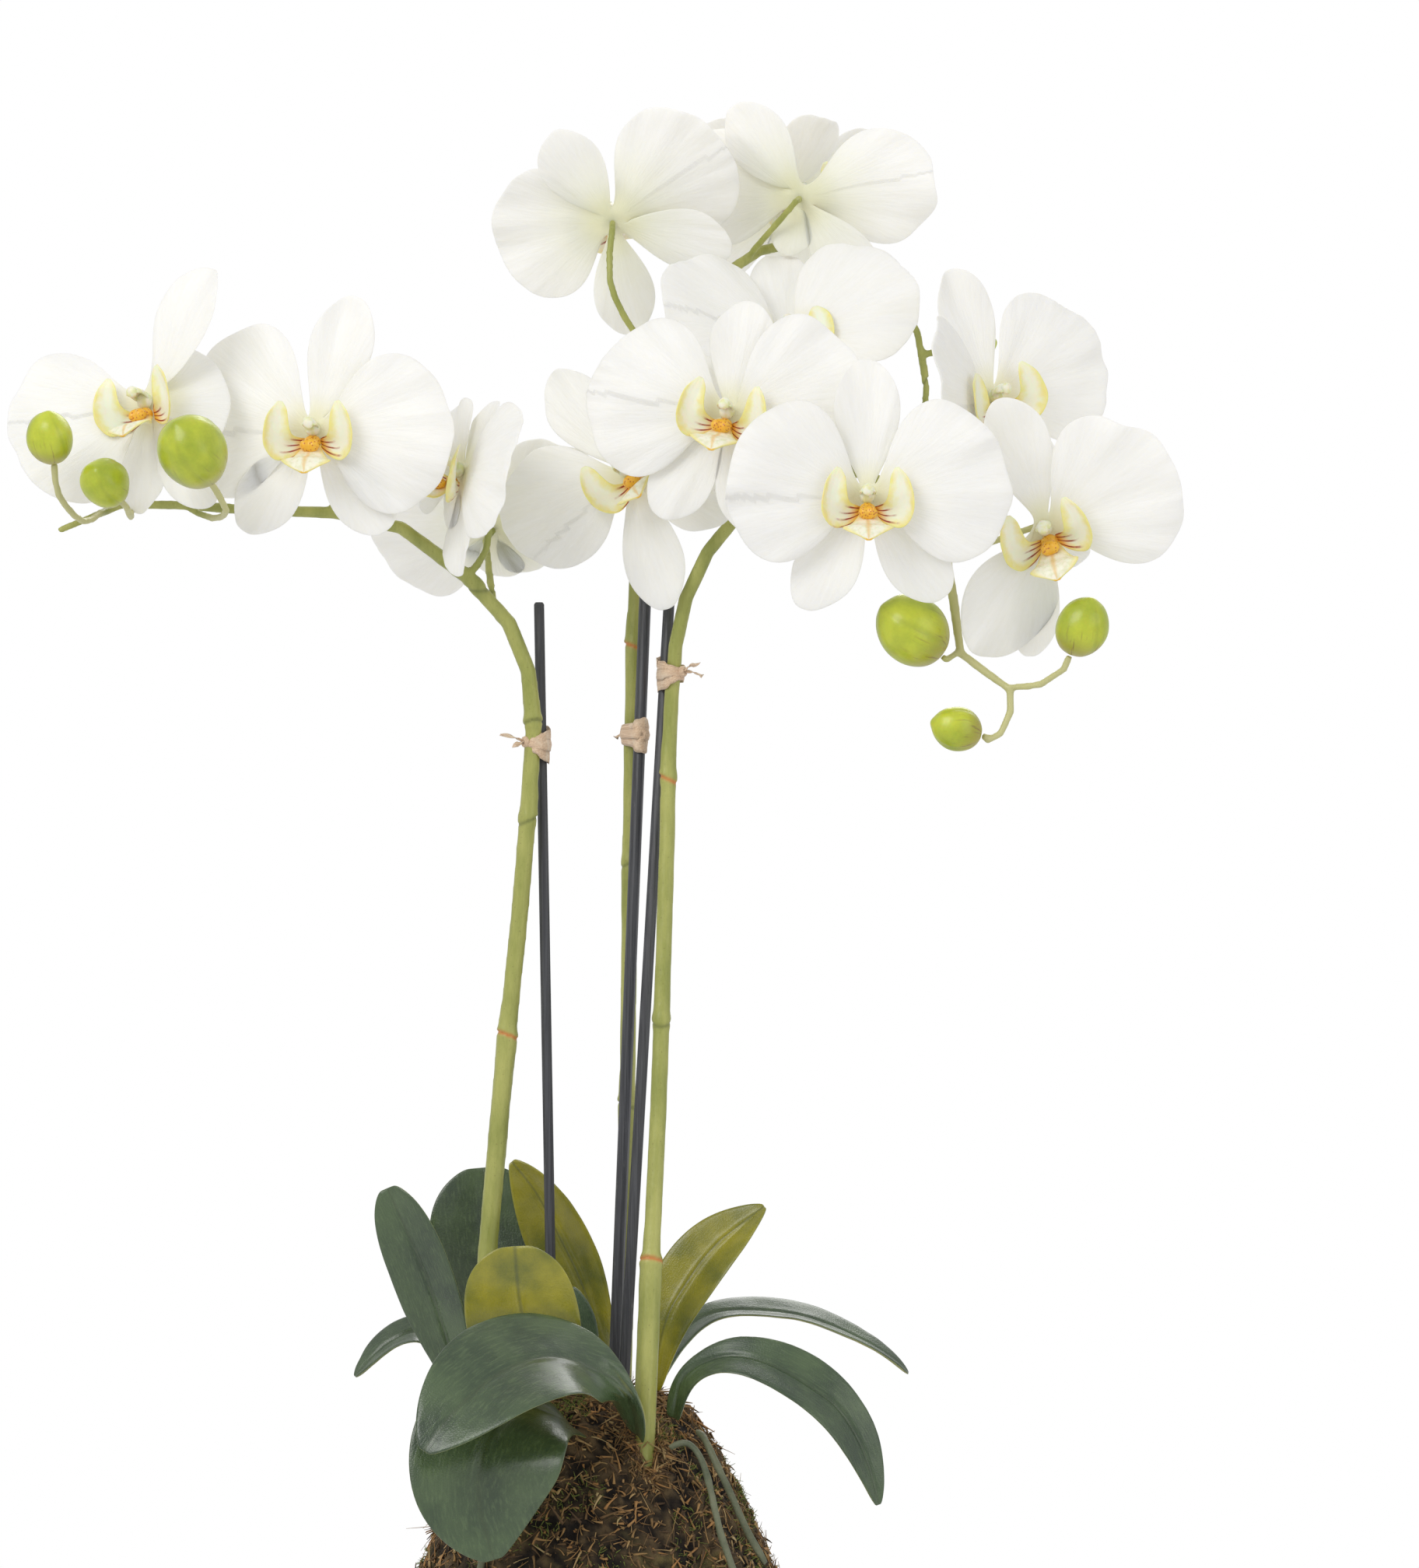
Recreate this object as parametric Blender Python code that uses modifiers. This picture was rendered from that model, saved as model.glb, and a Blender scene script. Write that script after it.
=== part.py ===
"""A potted moth orchid: three staked flower spikes, strap leaves, air roots and a moss ball in a round pot.

The sizes below are in millimetres and the model is in metres. +Z is up, the front faces -Y,
and the origin is the centre of the pot's flat base.
"""

import math
import random

import bmesh
import bpy
from mathutils import Matrix, Vector
from mathutils.bvhtree import BVHTree
from mathutils.geometry import convex_hull_2d, intersect_point_line

MM = 0.001
GAP = 0.3  # clearance left between neighbouring pieces

# Pot: a turned wall with a rolled rim on a flat foot.
POT_HEIGHT = 135.0
POT_RIM_RADIUS = 88.0
POT_FOOT_RADIUS = 58.0
POT_WALL = 5.0
POT_FLOOR = 7.0
POT_STEPS = 32

# Moss ball: its dome's profile (radius, height) above the pot, and how lumpy it is.
MOSS_DOME = [(20, 217), (37, 212), (47, 198), (57, 181), (65, 164), (72, 147), (77, 130)]
MOSS_LUMP = 2.2
MOSS_SIDES = 26

# Stakes: foot, top and radius.
STAKES = {
    "stake_left": ((-17.6, 8.5, 172), (-24, 6, 545), 2.25),
    "stake_middle": ((5.2, 9, 174), (21, 9, 572), 2.5),
    "stake_right": ((8.5, -4, 174), (30.8, 3, 559), 2.4),
}

# Spikes: the stem's path from inside the moss to its tip, its radius at the foot, above the first
# joint and at the tip, and its swollen joints as (height, swelling).
SPIKES = {
    "spike_left": {
        "path": [
            (-61, 6, 160), (-52, 5, 198), (-45, 4, 279), (-37, 2, 366), (-32, 0, 414), (-28, -3, 462),
            (-26, -5, 492), (-28, -7, 516), (-36, -9, 536), (-53, -11, 555), (-80, -15, 575),
            (-107, -19, 581), (-142, -22, 582), (-193, -30, 584), (-219, -34, 573),
        ],
        "radius": (4.0, 3.6, 1.3),
        "joints": [(366, 0.4), (455, 0.5), (495, 0.6), (551, 0.4)],
    },
    "spike_middle": {
        "path": [
            (9, 18, 178), (11, 18, 232), (12.5, 18, 336), (13.5, 18, 437), (15, 19, 527), (17, 22, 570),
            (20, 26, 609), (35, 42, 664), (68, 66, 696), (110, 96, 700), (137, 120, 665),
            (141, 126, 641),
        ],
        "radius": (3.6, 3.3, 1.4),
        "joints": [(336, 0.5), (437, 0.5), (527, 0.5), (645, 0.3)],
    },
    "spike_right": {
        "path": [
            (18, -44, 166), (20, -39, 203), (23, -28, 278), (26, -19, 344), (29, -9, 440), (31, -6, 504),
            (37, -9, 546), (59, -16, 581), (100, -24, 600), (126, -29, 590), (143, -34, 564),
            (149, -38, 523), (158, -40, 516), (169, -42, 508), (169, -43, 499), (165, -44, 490),
            (159, -46, 487),
        ],
        "radius": (4.7, 3.5, 1.4),
        "joints": [(275, 0.7), (372, 0.5), (472, 0.5)],
    },
}

# Flowers: the spike each grows on, its hub, the way it faces (azimuth from the front towards +X,
# elevation), its clockwise turn in its own plane, and the stalk's start on the stem and its bends.
FLOWERS = {
    "left_1": {
        "on": "spike_left", "hub": (-44, 42, 577), "face": (160, 30), "turn": 12, "from": (-39, -8, 531),
        "via": [(-44, 6, 552), (-46, 22, 566)],
    },
    "left_2": {
        "on": "spike_left", "hub": (-54, -24, 596), "face": (-64, 15), "turn": 12,
        "from": (-53, -11, 555), "via": [(-45, -16, 566), (-44, -20, 581)],
    },
    "left_3": {
        "on": "spike_left", "hub": (-114, -44, 613), "face": (-8, -2), "turn": 0,
        "from": (-107, -19, 581),
    },
    "left_4": {
        "on": "spike_left", "hub": (-180, -52, 623), "face": (-30, 8), "turn": -12,
        "from": (-166, -26, 583),
    },
    "middle_1": {
        "on": "spike_middle", "hub": (14, -8, 598), "face": (-18, 5), "turn": -42, "from": (17, 22, 572),
    },
    "middle_2": {
        "on": "spike_middle", "hub": (79, 22, 653), "face": (5, 40), "turn": 0, "from": (26, 33, 642),
        "via": [(50, 32, 640)],
    },
    "middle_3": {
        "on": "spike_middle", "hub": (6, 40, 706), "face": (180, 25), "turn": 34, "from": (28, 35, 650),
        "via": [(15, 28, 659), (5, 24, 680)],
    },
    "middle_4": {
        "on": "spike_middle", "hub": (85, 52, 717), "face": (170, 12), "turn": 10, "from": (62, 62, 692),
    },
    "middle_5": {
        "on": "spike_middle", "hub": (78, 118, 722), "face": (200, 50), "turn": 0, "from": (92, 84, 701),
    },
    "right_1": {
        "on": "spike_right", "hub": (54, -52, 619), "face": (-10, 5), "turn": 10, "from": (56, -15, 578),
    },
    "right_2": {
        "on": "spike_right", "hub": (110, -76, 584), "face": (0, 0), "turn": 0, "from": (98, -24, 600),
    },
    "right_3": {
        "on": "spike_right", "hub": (163, -8, 628), "face": (32, 5), "turn": -14,
        "from": (120, -28, 594),
    },
    "right_4": {
        "on": "spike_right", "hub": (183, -52, 573), "face": (-5, -15), "turn": -18,
        "from": (144, -34, 562),
    },
}

# A flower's five lobes: the arc of the hub ring that each grows from (degrees), its length and half width.
LOBES = {
    "right_petal": {"arc": (-39, 63), "length": 56, "half": 34},
    "dorsal": {"arc": (63, 117), "length": 55, "half": 15},
    "left_petal": {"arc": (117, 219), "length": 56, "half": 34},
    "left_sepal": {"arc": (219, 270), "length": 49, "half": 14.5},
    "right_sepal": {"arc": (270, 321), "length": 49, "half": 14.5},
}
PETAL_ROWS = [
    (0.16, 0.25), (0.36, 0.78), (0.6, 1.0), (0.83, 0.88), (1.0, 0.4),
]  # shares of length, half width
SEPAL_ROWS = [(0.2, 0.33), (0.48, 0.84), (0.78, 1.0), (1.0, 0.36)]
HUB_RADIUS = 5.0
TEPAL = 1.2  # thickness
STALK = 1.5  # stalk radius
BUD_LENGTH = 1.12  # over its width

# Each flower's own bends, by lobe: "lift" leans it forwards at its foot, "curl" bends it further forwards
# towards its tip, "sweep" swings it round in the flower's plane, "twist" turns its tip about its midline,
# "fold" is how far its edges stand in front of its middle, and "long" and "wide" stretch it.
BENDS = {
    "left_1": {
        "dorsal": {"long": 0.95}, "left_petal": {"wide": 0.85}, "left_sepal": {"curl": 30, "long": 0.6},
        "right_sepal": {"curl": 30, "long": 0.6},
    },
    "left_2": {
        "left_petal": {"long": 0.7, "wide": 0.8}, "right_petal": {"wide": 0.88}, "dorsal": {"long": 0.6},
        "left_sepal": {"long": 0.5}, "right_sepal": {"long": 0.85},
    },
    "left_3": {
        "dorsal": {"sweep": -18}, "left_petal": {"sweep": -4, "wide": 1.1, "lift": -9},
        "right_petal": {"sweep": -14}, "left_sepal": {"sweep": -12}, "right_sepal": {"sweep": 10},
    },
    "left_4": {
        "dorsal": {"sweep": -30, "long": 1.08}, "left_petal": {"lift": 8, "curl": 30, "sweep": 20},
        "right_petal": {"lift": -38, "long": 0.62, "wide": 0.75, "sweep": 8},
        "left_sepal": {"long": 0.88, "lift": -8},
    },
    "middle_1": {
        "left_petal": {"wide": 0.8, "sweep": -5}, "left_sepal": {"long": 1.15},
        "right_sepal": {"lift": 12},
    },
    "middle_2": {"left_petal": {"lift": 25}, "right_petal": {"lift": 25, "sweep": 12}},
    "middle_3": {
        "left_petal": {"fold": 0.15, "sweep": 10, "wide": 0.92},
        "right_petal": {"sweep": 10, "long": 0.88, "wide": 0.9}, "left_sepal": {"sweep": -18},
        "dorsal": {"long": 0.85},
    },
    "middle_4": {
        "left_petal": {"fold": 0.3, "sweep": 16, "wide": 0.75}, "dorsal": {"sweep": -24, "long": 0.85},
        "right_petal": {"wide": 0.76, "sweep": 7}, "right_sepal": {"long": 0.5, "wide": 0.7},
    },
    "middle_5": {"left_petal": {"lift": 15}, "right_petal": {"lift": 15}},
    "right_1": {"left_petal": {"sweep": 8}, "right_petal": {"sweep": 12}, "dorsal": {"long": 0.85}},
    "right_2": {
        "left_petal": {"lift": 14}, "right_petal": {"lift": 10}, "left_sepal": {"sweep": -5},
        "right_sepal": {"sweep": 12},
    },
    "right_3": {"left_petal": {"lift": 6, "curl": 45}},
    "right_4": {
        "left_petal": {"lift": 8, "sweep": 58, "twist": -35, "wide": 0.62},
        "left_sepal": {"long": 1.1, "wide": 0.75},
        "right_sepal": {"sweep": -24, "lift": -35, "long": 0.6},
    },
}

# Buds: the spike each grows on, centre, radius, and the stalk's start on the stem and its bends.
BUDS = {
    "bud_left_1": {
        "on": "spike_left", "at": (-159, -94, 602), "radius": 15.2, "from": (-168, -26, 583),
        "via": [(-156, -38, 578), (-148, -66, 580)],
    },
    "bud_left_2": {
        "on": "spike_left", "at": (-195, -84, 590), "radius": 10.6, "from": (-190, -29, 584),
        "via": [(-188, -50, 578), (-188, -66, 581)],
    },
    "bud_left_3": {
        "on": "spike_left", "at": (-217, -84, 608), "radius": 10.3, "from": (-199, -31, 583),
        "via": [(-207, -51, 576), (-215, -70, 586)],
    },
    "bud_middle_1": {"on": "spike_middle", "at": (112, 136, 684), "radius": 11, "from": (124, 108, 686)},
    "bud_middle_2": {"on": "spike_middle", "at": (160, 118, 660), "radius": 10, "from": (139, 122, 656)},
    "bud_middle_3": {"on": "spike_middle", "at": (140, 130, 624), "radius": 9, "from": (141, 126, 642)},
    "bud_right_1": {
        "on": "spike_right", "at": (129, -48, 532), "radius": 15, "from": (149, -38, 524),
        "via": [(143, -42, 520)],
    },
    "bud_right_2": {
        "on": "spike_right", "at": (197, -62, 533), "radius": 11.6, "from": (168, -42, 509),
        "via": [(181, -50, 510), (190, -56, 516)],
    },
    "bud_right_3": {"on": "spike_right", "at": (147, -49, 492), "radius": 9.8, "from": (161, -45, 488)},
}

# Leaves: the spine from foot to tip, the half width, the way the upper face looks at the foot and at
# the tip, the depth of the fold along the midrib, and whether the tip is blunt.
LEAVES = {
    "leaf_01": {
        "spine": [(-52, 16, 206), (-61, 15, 235), (-72, 13, 268), (-87, 12, 302)], "half": 15,
        "face": ((-0.5, -0.8, 0.3), (-0.5, -0.8, 0.3)), "fold": 0.25, "blunt": True,
    },
    "leaf_02": {
        "spine": [(-34, 32, 211), (-40, 42, 245), (-46, 48, 275), (-49, 50, 308)], "half": 27,
        "face": ((0, -1, 0.3), (0, -1, 0.3)), "fold": 0.12, "blunt": True,
    },
    "leaf_03": {
        "spine": [(-18, -26, 217), (-25, -44, 236), (-30, -54, 260), (-32, -58, 283)], "half": 24,
        "face": ((0, 1, 0.4), (0, 1, 0.4)), "fold": -0.12, "blunt": True,
    },
    "leaf_04": {
        "spine": [
            (18, -47, 204), (15, -56, 222), (0, -67, 234), (-18, -83, 241), (-36, -98, 236),
            (-51, -110, 225), (-66, -118, 206),
        ],
        "half": 27, "face": ((-0.5, -0.5, 0.6), (-0.2, -1, 0.3)), "fold": 0.15,
    },
    "leaf_05": {
        "spine": [
            (-8, -46, 207), (-22, -66, 219), (-36, -82, 216), (-44, -90, 200), (-45, -92, 182),
            (-39, -92, 160),
        ],
        "half": 33, "face": ((0, -0.6, 1), (0, -1, 0.1)), "fold": 0.12,
    },
    "leaf_06": {
        "spine": [(-44, 34, 193), (-56, 36, 222), (-71, 36, 240), (-87, 34, 236), (-102, 32, 221)],
        "half": 12, "face": ((0, -0.4, 1), (-0.4, -0.5, 0.8)), "fold": 0.3,
    },
    "leaf_07": {
        "spine": [
            (7, 28, 218), (4, 29, 230), (-3, 30, 255), (-13, 31, 277), (-24, 31, 297), (-36, 31, 312),
        ],
        "half": 16, "face": ((-0.6, -0.8, 0.3), (-0.6, -0.8, 0.3)), "fold": 0.4,
    },
    "leaf_08": {
        "spine": [(-4, -8, 220), (-6, -6, 238), (-10, -4, 262)], "half": 8,
        "face": ((0, -1, 0), (0, -1, 0)), "fold": 0.3,
    },
    "leaf_09": {
        "spine": [(23, 4, 218), (29, 5, 245), (38, 6, 262), (51, 8, 278), (70, 10, 294)], "half": 15,
        "face": ((-0.3, -0.9, 0.2), (-0.5, -0.8, 0.4)), "fold": 0.4,
    },
    "leaf_10": {
        "spine": [
            (24, 28, 218), (38, 46, 243), (66, 55, 247), (93, 58, 242), (115, 60, 232), (131, 62, 219),
        ],
        "half": 12, "face": ((0, -0.2, 1), (0.3, -0.3, 1)), "fold": 0.25,
    },
    "leaf_11": {
        "spine": [
            (32, -32, 210), (37, -40, 230), (50, -46, 238), (67, -50, 236), (84, -52, 228),
            (99, -52, 216), (109, -52, 199), (115, -52, 177),
        ],
        "half": 13, "face": ((0, -0.6, 0.8), (0.5, -0.8, 0.3)), "fold": 0.3,
    },
}
LEAF = 1.6  # thickness
LEAF_ROWS = [
    (0.0, 0.3), (0.14, 0.44), (0.3, 0.74), (0.46, 0.96), (0.62, 1.0), (0.78, 0.84), (0.92, 0.48),
    (1.0, 0.12),
]
BLUNT_ROWS = [*LEAF_ROWS[:5], (0.8, 0.94), (0.93, 0.7), (1.0, 0.3)]

# Air roots: paths over the moss, and radius.
ROOTS = {
    "root_1": (
        [(41, -30, 205), (44, -34, 204), (48, -42, 196), (54, -46, 184), (62, -46, 166), (70, -44, 152)],
        2.3,
    ),
    "root_2": (
        [(30, -52, 200), (38, -54, 205), (44, -56, 196), (48, -58, 180), (52, -60, 164), (58, -60, 148)],
        2.3,
    ),
    "root_3": ([(-30, -50, 196), (-38, -52, 180), (-44, -54, 160), (-46, -56, 142)], 2.4),
}

# Raffia ties: stake and spike held together, height, band height, and the way the knot points.
TIES = {
    "tie_left": ("stake_left", "spike_left", 486, 13, (-0.8, -0.6, 0.3)),
    "tie_middle": ("stake_middle", "spike_middle", 490, 12, (-0.3, 0.9, 0.1)),
    "tie_right": ("stake_right", "spike_right", 515, 13, (0.8, -0.6, 0.1)),
}

COLOURS = {
    "pot": ((0.62, 0.60, 0.56), 0.75),
    "moss": ((0.07, 0.05, 0.025), 0.95),
    "root": ((0.30, 0.32, 0.20), 0.7),
    "stake": ((0.05, 0.05, 0.06), 0.4),
    "stem": ((0.28, 0.33, 0.10), 0.5),
    "leaf": ((0.07, 0.12, 0.05), 0.35),
    "petal": ((0.86, 0.84, 0.80), 0.55),
    "lip": ((0.80, 0.58, 0.12), 0.5),
    "bud": ((0.46, 0.58, 0.06), 0.35),
    "raffia": ((0.78, 0.62, 0.40), 0.8),
}


def clear_scene():
    for obj in list(bpy.data.objects):
        bpy.data.objects.remove(obj)


def collection(name, helper=False):
    made = bpy.data.collections.new(name)
    made.hide_render = helper
    bpy.context.scene.collection.children.link(made)
    return made


def material(name, kind):
    """Each piece has a material of its own, in the colour of its kind."""
    colour, roughness = COLOURS[kind]
    made = bpy.data.materials.new(name)
    made.use_nodes = True
    shader = made.node_tree.nodes["Principled BSDF"]
    shader.inputs["Base Color"].default_value = (*colour, 1)
    shader.inputs["Roughness"].default_value = roughness
    made.diffuse_color = (*colour, 1)
    return made


def add_object(name, mesh, kind=None):
    """A piece goes with the parts. One with no kind is a helper for a Boolean."""
    obj = bpy.data.objects.new(name, mesh)
    if kind:
        PARTS.objects.link(obj)
        mesh.materials.clear()
        mesh.materials.append(material(name, kind))
    else:
        HELPERS.objects.link(obj)
        obj.hide_render = True
        obj.display_type = "WIRE"
    return obj


def finish_mesh(name, bm):
    bmesh.ops.recalc_face_normals(bm, faces=bm.faces)
    mesh = bpy.data.meshes.new(name)
    bm.to_mesh(mesh)
    bm.free()
    return mesh


def vec(point):
    return Vector(point) * MM


def boolean(obj, other, operation):
    modifier = obj.modifiers.new(operation.title() + " " + other.name, "BOOLEAN")
    modifier.operation = operation
    modifier.solver = "EXACT"
    modifier.object = other


def solidify(obj, thickness):
    modifier = obj.modifiers.new("Thickness", "SOLIDIFY")
    modifier.thickness = thickness * MM
    modifier.offset = 0


def smooth_path(points, step):
    """Points about a step apart on a smooth line through the given ones, in millimetres."""
    line = [Vector(p) for p in points]
    ends = [2 * line[0] - line[1], *line, 2 * line[-1] - line[-2]]
    path = []
    for a, b, c, d in zip(ends, ends[1:], ends[2:], ends[3:]):
        count = max(1, round((c - b).length / step))
        for i in range(count):
            t = i / count
            path.append(
                b
                + 0.5 * t * ((c - a) + t * ((2 * a - 5 * b + 4 * c - d) + t * (3 * b - a - 3 * c + d)))
            )
    return [*path, line[-1]]


def tube_mesh(name, path, radii, resolution=2):
    """A round tube with flat ends, swept along a path."""
    curve = bpy.data.curves.new(name, "CURVE")
    curve.dimensions = "3D"
    curve.bevel_depth = MM
    curve.bevel_resolution = resolution
    curve.use_fill_caps = True
    spline = curve.splines.new("POLY")
    spline.points.add(len(path) - 1)
    for point, place, radius in zip(spline.points, path, radii):
        point.co = (*vec(place), 1)
        point.radius = radius
    obj = bpy.data.objects.new(name, curve)
    HELPERS.objects.link(obj)
    mesh = bpy.data.meshes.new_from_object(obj)
    bpy.data.objects.remove(obj)
    bm = bmesh.new()
    bm.from_mesh(mesh)
    bmesh.ops.remove_doubles(bm, verts=bm.verts, dist=0.00001)
    bpy.data.meshes.remove(mesh)
    return finish_mesh(name, bm)


def spike_line(spike):
    """The stem's path and radii, with a swollen collar at each joint."""
    path = smooth_path(spike["path"], 24)
    for height, _ in spike["joints"]:
        after = next(i for i, p in enumerate(path) if p.z > height)
        low, high = path[after - 1], path[after]
        middle = low.lerp(high, (height - low.z) / (high.z - low.z))
        along = (high - low).normalized()
        collar = [middle + along * d for d in (-4, -1, 1.5, 4)]
        path[after:after] = [p for p in collar if low.z < p.z < high.z]
    foot, middle, tip = spike["radius"]
    first = spike["joints"][0][0]
    above = sum((b - a).length for a, b in zip(path, path[1:]) if a.z > first)
    radii, run = [], 0.0
    for i, place in enumerate(path):
        if i and path[i - 1].z > first:
            run += (place - path[i - 1]).length
        radius = foot if place.z <= first and not run else middle + (tip - middle) * (run / above) ** 2
        for height, swelling in spike["joints"]:
            if abs(place.z - height) < 2:
                radius += swelling
        radii.append(radius)
    return path, radii


def flower_frame(flower):
    """The flower's own axes: +Z is the way it faces, and +Y is its upper sepal."""
    azimuth, elevation = (math.radians(a) for a in flower["face"])
    face = Vector(
        (
            math.sin(azimuth) * math.cos(elevation), -math.cos(azimuth) * math.cos(elevation),
            math.sin(elevation),
        )
    )
    up = (Vector((0, 0, 1)) - face * face.z).normalized()
    side = up.cross(face)
    axes = Matrix((side, up, face)).transposed() @ Matrix.Rotation(-math.radians(flower["turn"]), 3, "Z")
    frame = axes.to_4x4()
    frame.translation = vec(flower["hub"])
    return frame


def grow(bm, edges, rows):
    """Extrudes a chain of edges outwards once for each row of places."""
    for row in rows:
        chain = ordered(edges)
        made = bmesh.ops.extrude_edge_only(bm, edges=edges)["geom"]
        fresh = [v for v in made if isinstance(v, bmesh.types.BMVert)]
        place_of = dict(zip(chain, row))
        for vert in fresh:
            foot = next(e.other_vert(vert) for e in vert.link_edges if e.other_vert(vert) in place_of)
            vert.co = vec(place_of[foot])
        edges = [e for e in made if isinstance(e, bmesh.types.BMEdge) and all(v in fresh for v in e.verts)]


def ordered(edges):
    """The vertices of an open chain of edges, from the end with the smaller turn about +Z."""
    count = {}
    for edge in edges:
        for vert in edge.verts:
            count[vert] = count.get(vert, 0) + 1
    ends = [v for v in count if count[v] == 1]
    other = ends[1].co - ends[0].co
    first = ends[0] if (ends[0].co.x * other.y - ends[0].co.y * other.x) > 0 else ends[1]
    chain, left = [first], set(edges)
    while left:
        edge = next(e for e in left if chain[-1] in e.verts)
        left.discard(edge)
        chain.append(edge.other_vert(chain[-1]))
    return chain


def lobe_rows(lobe, bend, count):
    """Where each row of a lobe goes, in the flower's own frame, in millimetres."""
    petal = count == 4
    length = lobe["length"] * bend.get("long", 1)
    widest = lobe["half"] * bend.get("wide", 1)
    turn = math.radians(sum(lobe["arc"]) / 2 + bend.get("sweep", 0))
    lift = math.radians(bend.get("lift", 4 if petal else 2))
    curl = math.radians(bend.get("curl", -6))
    twist = math.radians(bend.get("twist", 0))
    fold = bend.get("fold", -0.1 if petal else 0.12)
    out = Vector((math.cos(turn), math.sin(turn), 0))
    front = Vector((0, 0, 1))
    across = front.cross(out)
    place, last = front * (1.6 if petal else -1.3), 0
    rows = []
    for share, width in PETAL_ROWS if petal else SEPAL_ROWS:
        lean = lift + curl * share
        along = out * math.cos(lean) + front * math.sin(lean)
        place = place + along * (share - last) * length
        last = share
        side = Matrix.Rotation(twist * share, 3, along) @ across
        normal = along.cross(side)
        half = widest * width
        rows.append([])
        for i in range(count + 1):
            u = 2 * i / count - 1
            rows[-1].append(place + side * u * half + (normal * fold - along * 0.14) * half * u * u)
    return rows


def ring_with_lobes(name, radius, height, segments, lobes):
    """A disc whose rim grows a lobe from each given run of its edges."""
    bm = bmesh.new()
    turns = [a for a, _ in segments]
    made = bmesh.ops.create_circle(
        bm, cap_ends=True, cap_tris=True, segments=len(turns), radius=radius * MM,
    )["verts"]
    rim = [v for v in made if v.co.length > radius * MM / 2]
    rim.sort(key=lambda v: math.atan2(v.co.y, v.co.x) % (2 * math.pi))
    for vert, turn in zip(rim, turns):
        vert.co = vec((radius * math.cos(math.radians(turn)), radius * math.sin(math.radians(turn)), height))
    for vert in made:
        vert.co.z = height * MM
    for label, rows in lobes.items():
        chain = [i for i, (_, owner) in enumerate(segments) if owner == label]
        edges = [bm.edges.get((rim[i], rim[(i + 1) % len(rim)])) for i in chain]
        grow(bm, edges, rows)
    return finish_mesh(name, bm)


def edges_of(label):
    """How many of the hub's edges a lobe grows from."""
    return 4 if "petal" in label else 2


def flower_segments():
    """Turn of each hub vertex with the lobe on the edge after it."""
    found = []
    for label, lobe in LOBES.items():
        low, high = lobe["arc"]
        count = edges_of(label)
        found += [(low + (high - low) * i / count, label) for i in range(count)]
    split = next(i for i, (turn, _) in enumerate(found) if turn >= 0)
    return found[split:] + [(turn + 360, label) for turn, label in found[:split]]


def add_flower(name, flower):
    rows = {
        label: lobe_rows(lobe, BENDS[name].get(label, {}), edges_of(label))
        for label, lobe in LOBES.items()
    }
    mesh = ring_with_lobes("flower_" + name, HUB_RADIUS, 0, flower_segments(), rows)
    mesh.transform(flower_frame(flower))
    solidify(add_object("flower_" + name, mesh, "petal"), TEPAL)


def add_lip(name, flower):
    """The lip and the column over it: a small four-lobed cup in front of the hub."""
    base = TEPAL + GAP
    column = [[(2.6, 3.6, 5), (0, 4.8, 5.5), (-2.6, 3.6, 5)], [(2.4, 1.6, 11), (0, 4.4, 12), (-2.4, 1.6, 11)]]
    middle = [
        [(-4, -8, 7), (0, -9, 7), (4, -8, 7)], [(-8, -13, 13), (0, -15, 14), (8, -13, 13)],
        [(-9, -12, 20), (0, -17, 21), (9, -12, 20)],
    ]
    right = [
        [(8, -8, 7), (9, -4, 7), (7, 0, 6)], [(16, -10, 12), (18, -3, 12), (14, 5, 10)],
        [(19, -3, 16), (21, 3, 15), (15, 11, 13)],
    ]
    left = [[(-x, y, z) for x, y, z in reversed(row)] for row in right]
    segments = [
        (15, "none"), (52, "column"), (90, "column"), (128, "none"), (165, "left"), (195, "left"),
        (225, "none"), (245, "middle"), (270, "middle"), (295, "none"), (315, "right"), (345, "right"),
    ]
    mesh = ring_with_lobes(
        "lip_" + name, 3.6, base, segments,
        {"column": column, "middle": middle, "right": right, "left": left},
    )
    mesh.transform(flower_frame(flower))
    solidify(add_object("lip_" + name, mesh, "lip"), 1.1)


def flower_stalk(flower):
    """A stalk from the stem to just behind the hub, arriving along the flower's axis."""
    frame = flower_frame(flower)
    back = -frame.to_3x3().col[2]
    end = Vector(flower["hub"]) + back * (TEPAL / 2 + GAP)
    points = [flower["from"], *flower.get("via", []), end + back * 10, end + back * 4, end]
    return smooth_path(points, 9)


def bud_pose(bud):
    """A bud's centre, and the way it points: on from its stalk."""
    before = Vector(bud.get("via", [bud["from"]])[-1])
    centre = Vector(bud["at"])
    return centre, (centre - before).normalized()


def bud_stalk(bud):
    centre, along = bud_pose(bud)
    end = centre - along * (bud["radius"] * BUD_LENGTH + GAP)
    return smooth_path([bud["from"], *bud.get("via", []), end], 9)


def nearest_on(path, place):
    """The point of a line that is nearest to a place."""
    spots = []
    for a, b in zip(path, path[1:]):
        share = intersect_point_line(place, a, b)[1]
        spots.append(a.lerp(b, min(max(share, 0.0), 1.0)))
    return min(spots, key=lambda spot: (spot - place).length)


def add_spikes():
    for name, spike in SPIKES.items():
        path, radii = spike_line(spike)
        stem = add_object(name, tube_mesh(name, path, radii), "stem")
        stalks = [flower_stalk(f) for f in FLOWERS.values() if f["on"] == name]
        stalks += [bud_stalk(b) for b in BUDS.values() if b["on"] == name]
        for i, stalk in enumerate(stalks):
            stalk[0] = nearest_on(path, stalk[0])
            helper = f"{name}_stalk_{i + 1}"
            mesh = tube_mesh(helper, stalk, [STALK] * len(stalk), 1)
            boolean(stem, add_object(helper, mesh), "UNION")


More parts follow.
